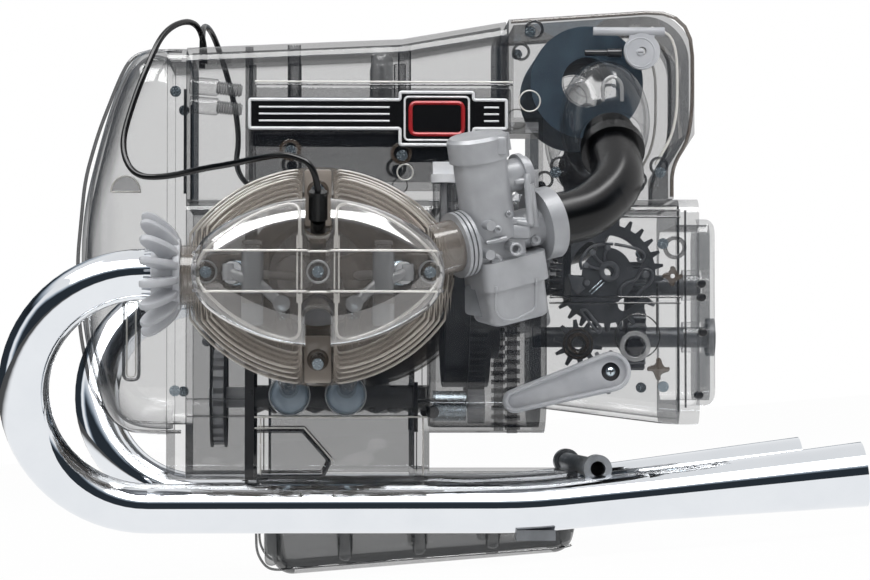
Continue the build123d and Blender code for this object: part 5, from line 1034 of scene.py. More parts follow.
@dataclass
class HeadTrim:
    """Fin edge beads coloured as painted highlights, screw wells and rocker posts of both heads.
    """

    centre: float = -9.0
    apart: float = 18.0
    reach: float = 62.5
    half: float = 50.0
    tip: float = 22.0
    fin_shares: tuple[tuple[float, float], ...] = (
        (0.985, -110.6), (0.94, -122.6), (0.90, -134.6), (0.862, -146.6),
    )
    ridges: Outline = ((52.6, 40.8), (52.0, 38.6), (51.4, 36.4))
    ridge_face: float = -146.6
    bead_radius: float = 0.62
    notch_half: float = 7.0
    notch_top: float = 17.0
    notch_foot: float = -15.5
    notch_plates: tuple[Triple, ...] = (
        (39.2, 23.0, 49.0), (-38.0, -48.6, -27.0),
    )
    post_places: tuple[float, ...] = (-29.0, 29.0)
    post: Outline = (
        (4.2, 0), (5.0, 0.8), (5.0, 33.0), (4.6, 34.0), (3.4, 34.2), (3.4, 35.6), (4.4, 36.0),
        (4.4, 37.2), (3.8, 37.8),
    )

    def build(self) -> None:
        """Make the trim of both heads."""
        self.fins()
        self.wells()
        self.posts()

    def half_ring(self, reach: float, half: float) -> list[Flat]:
        """Return one fin's edge right of the notches, from the upper one to the lower one."""
        inner = self.notch_half + 0.7
        upper = [spot for spot in lens(reach, half, self.tip, 96) if spot[0] > inner + 5.5]
        upper.sort()
        corner = (inner, upper[0][1] + 0.9)
        top = [(inner, self.notch_top + 1.5), corner, *upper]
        lower = [(x, -z) for x, z in reversed(upper)]
        foot = [(inner, -corner[1]), (inner, self.notch_foot - 1.5)]
        head = softened(top[:3], 5.5)
        tail = softened([lower[-1], *foot], 5.5)
        return [*head, *upper[1:], *lower[:-1], *tail]

    def ring(self, reach: float, half: float, y: float, radius: float) -> list[Any]:
        """Return both halves of one fin's edge bead, which carries a painted highlight."""
        right = self.half_ring(reach, half)
        place = facing_left(self.centre, y, 0)
        return [
            SHOP.bead([(side * x, z, 0.0) for x, z in right], radius, place=place)
            for side in (1, -1)
        ]

    def fins(self) -> None:
        """Make the edge beads of the fins, coloured as painted highlights."""
        pieces = []
        for share, y in self.fin_shares:
            pieces += self.ring(self.reach * share, self.half * share, y, self.bead_radius)
        for reach, half in self.ridges:
            pieces += self.ring(reach, half, self.ridge_face, self.bead_radius * 0.85)
        twins(pieces, "fin_edges", "warm_clear", Finish.FIN, self.apart)
        cups = []
        for height, way in ((self.notch_top, 1), (self.notch_foot, -1)):
            half = self.notch_half + 0.2
            path = softened([
                (-half, height + way * 15), (-half, height - way), (half, height - way),
                (half, height + way * 15),
            ], 6.0)
            for y, radius in ((-147.0, 0.8), (-129.0, 0.6)):
                cups.append(SHOP.bead(
                    [(x, z, 0.0) for x, z in path], radius, place=facing_left(self.centre, y, 0)
                ))
        twins(cups, "notch_edges", "warm_clear", Finish.FROST, self.apart)

    def wells(self) -> None:
        """Make the plates in the notches and the dark wells round their screws."""
        pieces, plates = [], []
        skin = Skin("head_left")
        for height, low, high in self.notch_plates:
            y = skin.depth(self.centre + 3.6, height, -112.0, 10.0)
            outline = softened(box_outline((-6.2, low), (6.2, high)), 1.5, True)
            plates.append(SHOP.plate(
                [outline, circle(3.4, (0.0, height))], 0.9, facing_left(self.centre, y + 0.4, 0)
            ))
            pieces.append(SHOP.washer(5.0, 3.3, 1.6, (self.centre, y + 0.6, height), 0.5))
        twins(pieces, "screw_wells", "warm_clear", Finish.BRONZE, self.apart)
        twins(plates, "notch_plates", "warm_clear", Finish.PLATE, self.apart)

    def posts(self) -> None:
        """Make the frosted posts that carry the rockers."""
        pieces = []
        for offset in self.post_places:
            x = self.centre + offset
            pieces.append(SHOP.turned(self.post, (x, -154.5, -23.5), UP, 28))
            pieces.append(SHOP.rod((x, -150.6, -20), (x, -150.6, 12), 2.2, 0.5, 12))
        twins(pieces, "rocker_posts", "clear", Finish.FROST, self.apart)


@dataclass
class ValveCoverTrim:
    """Rims and ribs of the two valve covers in painted highlight colours, and their screw wells.
    """

    centre: float = -9.0
    apart: float = 18.0
    rib_heights: tuple[float, ...] = (9.0, -8.9)
    rib_span: Flat = (-50.0, 52.0)
    valley: float = 7.2
    furthest: float = -174.2
    wells: Outline = ((-49.5, -158.0), (49.5, -158.0), (0.0, -163.6))

    def build(self) -> None:
        """Make the trim of both covers."""
        skin = Skin("valve_covers", self.furthest)
        lines, rims = [], []
        for height in self.rib_heights:
            path = [(self.centre + end, height) for end in self.rib_span]
            lines.append(skin.bead(path, -166, 12, 0.5, 0.3))
        upper = [spot for spot in lens(53.0, 31.0, 12.0, 48) if spot[0] > 9.5]
        upper.sort()
        lobe = [(8.0, 10.0), (8.0, upper[0][1] - 1.0)]
        outline = softened([*lobe, upper[0]], 4.0)
        outline += upper[1:] + [(x, -z) for x, z in reversed(upper)][:-1]
        outline += softened([(x, -z) for x, z in (upper[0], *reversed(lobe))], 4.0)
        for side in (1, -1):
            path = [(self.centre + side * x, z) for x, z in outline]
            rims.append(skin.bead(path, -163, 13, 0.7, 0.1))
            x = self.centre + side * self.valley
            for shift in (0.0, side * 1.9):
                path = [(x + shift, 15.5), (x + shift, -14.0)]
                rims.append(skin.bead(path, -166, 12, HAIR, 0.1, rounding=1))
        # The ribs, rims and split lines carry painted highlight colours.
        twins(lines, "cover_rib_highlights", "clear", Finish.EDGE, self.apart)
        twins(rims, "cover_rim_highlights", "clear", Finish.RIM, self.apart)
        wells = [
            SHOP.washer(5.4, 4.2, 2.6, (self.centre + offset, y + 0.4, 0), 0.5)
            for offset, y in self.wells
        ]
        twins(wells, "cover_wells", "clear", Finish.FROST, self.apart)

@dataclass
class ExhaustNuts:
    """Light grey finned nuts that hold the exhaust pipes."""

    face: float = -71.0
    depth: float = -132.0
    apart: float = 18.0
    blades: int = 16
    thickness: float = 3.3
    collars: Outline = ((14.6, 13.0), (16.4, 3.4))
    bore: float = 12.2
    outline: Outline = (
        (0, 11.8), (0.4, 17.5), (3.6, 21.8), (7.6, 25.2), (12.0, 27.8), (15.2, 28.3), (16.8, 27.0),
        (16.4, 24.4), (13.6, 20.8), (10.6, 17.4), (8.9, 14.2), (8.4, 11.8),
    )

    def build(self) -> None:
        """Make one nut and its twin."""
        blade = SHOP.plate([list(self.outline)], self.thickness, Matrix(), 0.9, True, 4)
        moves = []
        for index in range(self.blades):
            angle = math.tau * (index + 0.5) / self.blades
            c, s = math.cos(angle), math.sin(angle)
            half = self.thickness / 2
            moves.append(Matrix((
                (-1, 0, 0, self.face), (0, c, s, self.depth - s * half),
                (0, s, -c, c * half), (0, 0, 0, 1),
            )))
        pieces = SHOP.copies(blade, moves)
        along = Matrix((
            (0, 0, -1, self.face + SUNK), (0, 1, 0, self.depth), (1, 0, 0, 0), (0, 0, 0, 1),
        ))
        for radius, length in self.collars:
            pieces.append(SHOP.plate([circle(radius), circle(self.bore)], length, along, 0.8))
        for nut in twins(pieces, "finned_nut", "light_grey", None, self.apart):
            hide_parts("exhaust_nuts")


@dataclass
class ValveSprings:
    """Springs between the head's pockets and the valve retainers."""

    foot: float = 38.0
    top: float = 46.0
    coil: float = 5.1
    wire: float = 0.55
    turns: int = 5
    slope: float = math.radians(35)
    keep: float = 0.62

    def build(self) -> None:
        """Make all four."""
        for side, centre, way in (("left", -9.0, -1), ("right", 9.0, 1)):
            for kind, hand in (("exhaust", -1), ("intake", 1)):
                self.spring(kind, side, centre, hand, way)

    def spring(self, kind: str, side: str, centre: float, hand: int, way: int) -> None:
        """Make one spring.

        Args:
            kind: Which valve it closes.
            side: Which cylinder it belongs to.
            centre: That cylinder's X.
            hand: -1 towards the exhaust, 1 towards the carburettor.
            way: -1 on the left side, 1 on the right one.
        """
        ahead = Vector((hand * math.sin(self.slope), way * math.cos(self.slope), 0))
        start = Vector((centre + hand * 11, way * 114, 0))
        across, up = Vector(UP), Vector(UP).cross(ahead)
        path = []
        steps = self.turns * 14
        for index in range(steps + 1):
            angle = math.tau * self.turns * index / steps
            rise = self.foot + self.wire + (self.top - self.foot - 2 * self.wire) * index / steps
            round_it = across * math.cos(angle) + up * math.sin(angle)
            path.append(tuple(start + ahead * rise + round_it * self.coil))
        piece = SHOP.bead(path, self.wire)
        whole = SHOP.done([piece], f"{kind}_spring_{side}", "engine_case", "zinc_steel")
        tuple(STANCE.direction(ahead))
        tuple(STANCE.point(start + ahead * self.foot))
        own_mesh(whole)


@dataclass
class NamePlateTrim:
    """Bright border and plain generic lines of the two bare name plates."""

    face: float = -51.0
    bar_low: Flat = (-42.5, 71.7)
    bar_high: Flat = (81.7, 87.4)
    block_low: Flat = (29.0, 64.0)
    block_high: Flat = (66.0, 91.0)
    inset: float = 1.0
    rows: tuple[float, ...] = (76.3, 79.55, 82.8)

    def build(self) -> None:
        """Make the trim of both plates."""
        skin = Skin("name_plates")
        (x0, z0), (x1, z1) = self.bar_low, self.bar_high
        (u0, v0), (u1, v1) = self.block_low, self.block_high
        edge = self.inset
        border = [
            (x0 + edge, z0 + edge), (u0 + edge, z0 + edge), (u0 + edge, v0 + edge),
            (u1 - edge, v0 + edge), (u1 - edge, z0 + edge), (x1 - edge, z0 + edge),
            (x1 - edge, z1 - edge), (u1 - edge, z1 - edge), (u1 - edge, v1 - edge),
            (u0 + edge, v1 - edge), (u0 + edge, z1 - edge), (x0 + edge, z1 - edge),
        ]
        pieces = [skin.bead(softened(border, 1.0, True), self.face, 2, 0.8, closed=True)]
        for first, last in ((x0 + 5.5, u0 - 4.0), (u1 + 4.0, x1 - 4.6)):
            pieces += [
                skin.bead([(first, z), (last, z)], self.face, 2, 0.45) for z in self.rows
            ]
        inner = softened(box_outline((u0 + 3.2, v0 + 3.2), (u1 - 3.2, v1 - 3.2)), 2.0, True)
        pieces.append(skin.bead(inner, self.face, 2, 0.5, closed=True))
        twins(pieces, "plate_borders", "badge_black", Finish.WHITE)
        inner = softened(box_outline((u0 + 6.0, v0 + 6.0), (u1 - 6.0, v1 - 6.0)), 3.0, True)
        red = [skin.bead(inner, self.face, 2, 1.0, closed=True)]
        twins(red, "plate_red_frames", "badge_black", Finish.RED)

@dataclass
class SideTrim:
    """Collects pieces of the left side, each finish apart, and finishes them with their twins."""

    name: str
    slot: str
    heaps: dict[Finish, list[Any]] = field(default_factory=dict)

    def add(self, finish: Finish, *pieces: Any) -> None:
        """Put pieces of one finish aside."""
        self.heaps.setdefault(finish, []).extend(pieces)

    def line(self, finish: Finish, y: float, path: Sequence[Flat], radius: float,
             soft: float = 0.0, closed: bool = False) -> None:
        """Add a flat bead at one depth, with rounded corners where asked."""
        spots = softened(path, soft, closed) if soft else path
        self.add(finish, SHOP.bead([(x, y, z) for x, z in spots], radius, closed))

    def panel(self, finish: Finish, y: float, outlines: Sequence[Sequence[Flat]],
              thickness: float, soft: float = 0.4) -> None:
        """Add a plate whose back is at one depth."""
        self.add(finish, SHOP.plate(outlines, thickness, facing_left(0, y, 0), soft))

    def slab(self, finish: Finish, y: float, low: Flat, high: Flat, thickness: float,
             corner: float = 0.0, soft: float = 0.4) -> None:
        """Add an upright rectangular plate, with rounded corners where asked."""
        outline = box_outline(low, high)
        if corner:
            outline = softened(outline, corner, True)
        self.panel(finish, y, [outline], thickness, soft)

    def finish(self, both: bool = True) -> None:
        """Finish every heap, on both sides or on the left one only."""
        for finish, pieces in self.heaps.items():
            twins(pieces, f"{self.name}_{finish.name.lower()}", self.slot, finish, both=both)


@dataclass
class FrontCoverTrim:
    """Rims, nozzle and slot of the front cover."""

    silhouette: Outline = (
        (-75.5, 116.2), (-92.6, 116.2), (-100.9, 112.7), (-106.3, 103), (-117.1, 76), (-124, 52.5),
        (-127.9, 11.8), (-126.4, -22), (-120.5, -52.4), (-111.2, -65.6), (-102.9, -72.5),
        (-92.6, -73.4), (-75.5, -73.4),
    )
    middle: Flat = (-80.0, 20.0)
    least_reach: float = 30.0
    corner: float = 9.0
    rims: tuple[tuple[float, float, Finish], ...] = (
        (1.6, 0.9, Finish.LINE), (6.0, 0.7, Finish.PANEL),
    )
    nozzle: Flat = (-100.8, 43.1)
    nozzle_radii: Flat = (7.0, 7.6)
    nozzle_tip: float = -93.9
    nozzle_steps: int = 12
    slots: tuple[tuple[Finish, float, Flat, Flat, float, float], ...] = (
        (Finish.LINE, -33, (-101.7, -46.7), (-94.4, -8.2), 3.0, 0.8),
        # Painted highlight: the bright inner line of the slot.
        (Finish.EDGE, -34, (-100.2, -45.2), (-95.9, -9.7), 2.0, 0.4),
    )

    def shrunk(self, inset: float) -> list[Flat]:
        """Return the silhouette drawn in towards the cover's middle."""
        middle = Vector(self.middle)
        made = []
        for spot in self.silhouette:
            away = Vector(spot) - middle
            made.append(tuple(middle + away * (1 - inset / max(away.length, self.least_reach))))
        return softened(made, self.corner)

    def build(self) -> None:
        """Make the trim."""
        rim = SideTrim("front_cover_rim", "clear")
        for inset, radius, finish in self.rims:
            rim.line(finish, 0.0, self.shrunk(inset), radius)
        rim.finish(both=False)
        trim = SideTrim("front_cover", "clear")
        (x, z), (wide, high) = self.nozzle, self.nozzle_radii
        moon = [(self.nozzle_tip, z)]
        for step in range(self.nozzle_steps + 1):
            angle = math.pi - math.pi * step / self.nozzle_steps
            moon.append((x - wide * math.cos(angle), z + high * math.sin(angle)))
        moon.append((x - wide, z))
        trim.panel(Finish.PANEL, -30, [moon], 6.0)
        # Painted highlight: a bright line round the nozzle's dark panel.
        trim.line(Finish.EDGE, -36.2, moon, 0.5, closed=True)
        for finish, y, low, top, corner, radius in self.slots:
            trim.line(finish, y, box_outline(low, top), radius, corner, True)
        trim.finish(both=False)


@dataclass
class TopCoverTrim:
    """Panels, ribs, tubes and bosses of the top cover."""

    face: float = -48.0
    panels: tuple[tuple[Finish, float, Flat, Flat, float, float], ...] = (
        (Finish.SHADE, -40.5, (-43.6, 48.5), (-39.8, 112.3), 3.0, 0.0),
        (Finish.PANEL, -33, (-39.5, 48.3), (80.0, 71.5), 1.6, 2.0),
        (Finish.PANEL, -30, (-39.5, 71.5), (84.0, 94.0), 1.4, 2.0),
        (Finish.GASKET, -40.5, (-73.0, 42.0), (-71.6, 92.0), 2.0, 0.0),
    )
    tube_heights: Flat = (94.6, 85.4)
    tube_depth: float = -34.0
    teeth: int = 9
    tooth_radii: Flat = (2.5, 3.3)
    rib_places: Flat = (-20.3, 32.3)
    rib_span: Flat = (87.0, 113.0)
    rib_radius: float = 2.8
    rings: Outline = ((-22.2, 62.5), (30.6, 61.1))
    bottle: Outline = (
        (5.3, 0), (5.3, 17.5), (4.9, 19.6), (3.7, 21.3), (1.9, 22.2), (0, 22.4),
    )
    bottle_foot: Point = (22.1, -20.0, 89.8)
    # The bright level line is a painted highlight, the dark one below it a plain dark line.
    level_lines: tuple[tuple[Finish, float], ...] = ((Finish.EDGE, 95.2), (Finish.LINE, 93.8))

    def build(self) -> None:
        """Make the trim."""
        trim = SideTrim("top_cover", "smoked_clear")
        for panel in self.panels:
            trim.slab(*panel)
        self.tubes()
        low, high = self.rib_span
        for x in self.rib_places:
            trim.add(Finish.PANEL, SHOP.rod((x, -41.5, low), (x, -41.5, high), self.rib_radius))
            for edge in (x - self.rib_radius, x + self.rib_radius):
                trim.line(Finish.LINE, -44.3, [(edge, low), (edge, high)], HAIR)
        for x, z in self.rings:
            trim.add(Finish.BRONZE, SHOP.washer(5.2, 3.5, 1.2, (x, self.face + SUNK, z), 0.4))
        trim.add(Finish.FROST, SHOP.turned(self.bottle, self.bottle_foot, UP, 24))
        x = self.bottle_foot[0]
        trim.add(Finish.LINE, SHOP.rod((x, -14, 90), (x, -14, 106), 1.2))
        # Painted highlight: a bright hairline ring round the moulded circle mark.
        trim.line(Finish.EDGE, self.face - PROUD, circle(3.8, (32.5, 52.1), 28), HAIR, closed=True)
        for finish, height in self.level_lines:
            trim.line(finish, self.face - PROUD, [(-39.0, height), (84.0, height)], 0.45)
        trim.finish()

    def tubes(self) -> None:
        """Make the two clear tubes at the front, each with its toothed end."""
        trim = SideTrim("top_cover_tubes", "smoked_clear")
        y = self.tube_depth
        for height in self.tube_heights:
            middle = height - 1.2
            trim.add(Finish.CLEAR, SHOP.rod((-70.4, y, height), (-57.0, y, middle), 4.2))
            trim.add(Finish.FROST, self.toothed((-57.6, y, middle), (-45.4, y, height - 2.6)))
        trim.finish(both=False)

    def toothed(self, start: Point, end: Point) -> Any:
        """Return a clear tube with a row of rings."""
        way = Vector(end) - Vector(start)
        low, high = self.tooth_radii
        rings = [(low - 0.1, 0.0)]
        step = (way.length - 1.2) / self.teeth
        for index in range(self.teeth):
            foot = 0.6 + index * step
            for radius, share in ((low, 0.0), (high, 0.3), (high, 0.6), (low, 0.9)):
                rings.append((radius, foot + step * share))
        rings.append((low - 0.1, way.length))
        return SHOP.turned(rings, start, way, 20)


@dataclass
class CaseTrim:
    """Dark bands, seals, ribs and plugs of the crankcase."""

    face: float = -50.0
    waves: int = 18
    wave_pitch: float = 4.8
    seal_places: Flat = (-22.3, 4.3)
    seal_height: float = -54.0
    seal: Outline = (
        (9.6, 0), (10.0, 0.8), (10.0, 2.4), (9.4, 3.4), (8.9, 3.6), (8.7, 5.4), (7.6, 7.4),
        (6.0, 8.4), (5.2, 8.6),
    )
    rib: Outline = (
        (-37.8, -71), (-16, -71), (-3.2, -85.7), (-6.5, -92.4), (-37.8, -92.4),
    )
    glint: Outline = ((-38.8, -69.6), (-15.4, -69.6), (-1.6, -85.4))
    rods: tuple[tuple[Point, Point, float, float], ...] = (
        ((38.6, -46.0, -56.8), (52.8, -46.0, -56.8), 0.9, 0.4),
        ((45.7, -44.5, -62), (45.7, -49.0, -62), 3.1, 0.8),
    )
    louvres: int = 12
    louvre_pitch: float = 4.4
    edge_places: Flat = (-36.0, 41.0)

    def build(self) -> None:
        """Make the trim."""
        trim = SideTrim("case", "smoked_clear")
        wave = [(44.0, -49.2), (-41.0, -49.2), (-41.0, -62.0)]
        for index in range(self.waves):
            dip = 1.6 if index % 2 else -0.4
            wave.append((-39.0 + index * self.wave_pitch, -62.5 + dip))
        wave.append((44.0, -61.0))
        trim.panel(Finish.SHADE, -42.5, [wave], 1.6)
        for x in self.seal_places:
            foot = (x, self.face + 0.2, self.seal_height)
            trim.add(Finish.SEAL, SHOP.turned(self.seal, foot, LEFTWARDS, 36))
            lip = circle(self.seal[0][0], (x, self.seal_height), 36)
            trim.line(Finish.FROST, self.face - 3.6, lip, HAIR, closed=True)
        trim.line(Finish.LINE, self.face - PROUD, self.rib, 0.9, 1.5)
        # Painted highlight: a bright hairline glint along the rib.
        trim.line(Finish.EDGE, self.face - 0.3, self.glint, HAIR)
        trim.slab(Finish.GASKET, -46.5, (36.7, -71.5), (38.6, -47.8), 2.0)
        for start, end, radius, soft in self.rods:
            trim.add(Finish.GASKET, SHOP.rod(start, end, radius, soft))
        for index in range(self.louvres):
            low = -70.4 + index * self.louvre_pitch
            trim.slab(Finish.SHADE, -58.0, (79.3, low), (86.4, low + 2.4), 2.4, soft=0.5)
        trim.slab(Finish.SHADE, -55.5, (80.4, -72.0), (85.2, -17.0), 2.4, soft=0.5)
        # Painted highlights: bright hairlines along the case's edges.
        for x in self.edge_places:
            trim.line(Finish.EDGE, self.face - PROUD, [(x, -92.0), (x, -64.0)], HAIR)
        trim.line(Finish.EDGE, self.face - PROUD, [(-39.0, -64.4), (43.0, -64.4)], 0.4)
        trim.finish()


@dataclass
class AirboxTrim:
    """Rim, bosses and counterbores of the airbox, and the choke lever's screw and spindle."""

    face: float = -50.0
    corner: float = 22.0
    rim: Outline = (
        (83.0, 124.0), (169.7, 130.1), (169.7, 70.6), (159.7, 55.2), (159.7, 40.6),
    )
    glint: Outline = (
        (150.0, 121.5), (162.4, 117.0), (162.4, 74.0), (152.0, 56.0),
    )
    screws: Outline = ((94.1, 120.3), (106.0, 55.3), (153.5, 55.3))
    boss: Outline = (
        (124.8, 84.0), (124.8, 93.0), (129.3, 96.4), (133.8, 93.0), (133.8, 84.0),
    )
    choke_axis: Flat = (144.3, 109.1)
    choke_head: Outline = ((1.9, -2.6), (1.9, 0.2), (1.6, 0.6), (0.9, 0.8), (0, 0.8))

    def build(self) -> None:
        """Make the trim."""
        trim = SideTrim("airbox", "smoked_clear")
        trim.line(Finish.BRONZE, self.face + SUNK, self.rim, 0.9, self.corner)
        # Painted highlight: a bright glint line inside the rim.
        trim.line(Finish.EDGE, self.face + 0.5, self.glint, 0.7, 16.0)
        for x, z in self.screws:
            trim.add(Finish.LINE, SHOP.washer(4.6, 3.2, 1.2, (x, self.face + SUNK, z), 0.4))
        # Painted highlight: a bright hairline ring.
        trim.line(Finish.EDGE, self.face - PROUD, circle(5.0, (91.8, 86.1), 28), HAIR, closed=True)
        trim.line(Finish.FROST, -72.0, self.boss, 0.9, 3.0)
        trim.finish()
        self.choke()

    def choke(self) -> None:
        """Make the choke lever's screw, its raised edge and the black spindle beside it."""
        x, z = self.choke_axis
        skin = Skin("choke_lever")
        face = skin.depth(x + 4.0, z, -54.0, 2.0)
        head = SHOP.turned(self.choke_head, (x, face, z), LEFTWARDS, 22)
        ring = skin.bead(circle(6.9, (x, z), 36), face, 1.0, HAIR, closed=True)
        SHOP.done([head, ring], "choke_screw", "choke_lever", node_slot("choke_lever"))
        # Painted shade: a black bar stands for the dark screw slot.
        slot = SHOP.block((x, face - 0.75, z), (2.4, 0.3, 0.4), 0.08)
        SHOP.done([slot], "choke_screw_slot_shade", "choke_lever", "zinc_steel", Finish.GASKET)
        y = self.face - 1.5
        spindle = [
            SHOP.rod((118.0, y, z), (130.0, y, z), 1.5),
            SHOP.rod((128.6, y, z), (x - 8.6, y, z), 2.0),
        ]
        SHOP.done(spindle, "choke_spindle", "engine_case", "gasket_black")


@dataclass
class GearboxTrim:
    """Bosses, ribs, star plugs and slots of the gearbox."""

    face: float = -52.0
    inside: float = -49.8
    arm_half: float = 1.15
    waist: float = 2.1
    stars: tuple[tuple[float, float, float, float], ...] = (
        (152.8, -41.6, 5.0, 1.4), (159.6, 2.6, 4.4, 1.2),
    )
    boss: Flat = (141.6, -30.8)
    level_lines: tuple[float, ...] = (-7.4, -10.2, 34.0, 30.8)
    upright_lines: tuple[Triple, ...] = (
        (162.4, -62.0, 36.0), (165.8, -60.0, 34.0), (152.3, -25.0, -1.0),
    )
    slot: Outline = ((115.0, -13.4), (118.4, -12.2), (127.0, -22.6), (124.4, -25.6))
    slot_hole: Outline = ((116.9, -14.4), (118.3, -14.0), (125.3, -22.6), (124.4, -23.6))
    plugs: Outline = ((174.0, -0.9), (174.0, -7.4), (174.6, -24.2), (172.6, -54.0))
    teeth: int = 9
    tooth_pitch: float = 3.1
    tooth: Outline = ((101.6, 0.0), (107.4, 0.5), (107.4, 1.4), (101.6, 1.9))

    def star(self, x: float, z: float, reach: float) -> list[Flat]:
        """Return the outline of a plug with four round arms."""
        wide, waist = self.arm_half, self.waist
        arm = [
            (reach, -wide), (reach + 0.6, 0), (reach, wide), (waist + 1.0, wide * 0.8),
            (waist, waist),
        ]
        made = []
        for quarter in range(4):
            c, s = math.cos(math.pi / 2 * quarter), math.sin(math.pi / 2 * quarter)
            made += [(x + u * c - v * s, z + u * s + v * c) for u, v in arm]
        return softened(made, 0.7, True, 3)

    def build(self) -> None:
        """Make the trim."""
        trim = SideTrim("gearbox", "clear")
        for x, z, reach, thickness in self.stars:
            trim.panel(Finish.BRONZE, self.face + 0.3, [self.star(x, z, reach)], thickness)
        x, z = self.stars[1][:2]
        trim.add(Finish.WHITE, SHOP.rod((x, self.face, z), (x, self.face - 1.4, z), 1.1, 0.4, 14))
        x, z = self.boss
        trim.add(Finish.FROST, SHOP.washer(7.4, 5.0, 3.0, (x, self.face + 1.0, z), 0.7))
        nut = facing_left(x, self.face + 0.8, z)
        trim.add(Finish.LINE, SHOP.plate([circle(4.6, sides=6)], 1.6, nut, 0.5))
        line_face = self.face + 0.1
        trim.line(Finish.LINE, line_face, circle(10.6, (143.0, -26.0)), HAIR, closed=True)
        trim.add(Finish.SHADE, SHOP.washer(5.6, 3.6, 1.2, (160.8, self.face + SUNK, 16.2), 0.4))
        for height in self.level_lines:
            trim.line(Finish.LINE, line_face, [(101.0, height), (163.5, height)], THIN)
        for x, low, high in self.upright_lines:
            trim.line(Finish.LINE, line_face, [(x, low), (x, high)], THIN)
        trim.panel(Finish.RIB_GREY, self.inside + 1.4, [
            softened(self.slot, 2.2, True), softened(self.slot_hole, 0.8, True)
        ], 1.6)
        for x, z in self.plugs:
            ends = [(x, self.face + depth, z) for depth in (9, 1)]
            trim.add(Finish.GASKET, SHOP.rod(*ends, 2.0, 0.6))
        for index in range(self.teeth):
            low = -8.0 + index * self.tooth_pitch
            tooth = softened([(x, low + z) for x, z in self.tooth], 0.3, True)
            trim.panel(Finish.LINE, -47.5, [tooth], 1.6)
        trim.slab(Finish.LINE, -47.0, (108.0, -10.0), (111.6, 20.0), 1.6)
        trim.finish(both=False)


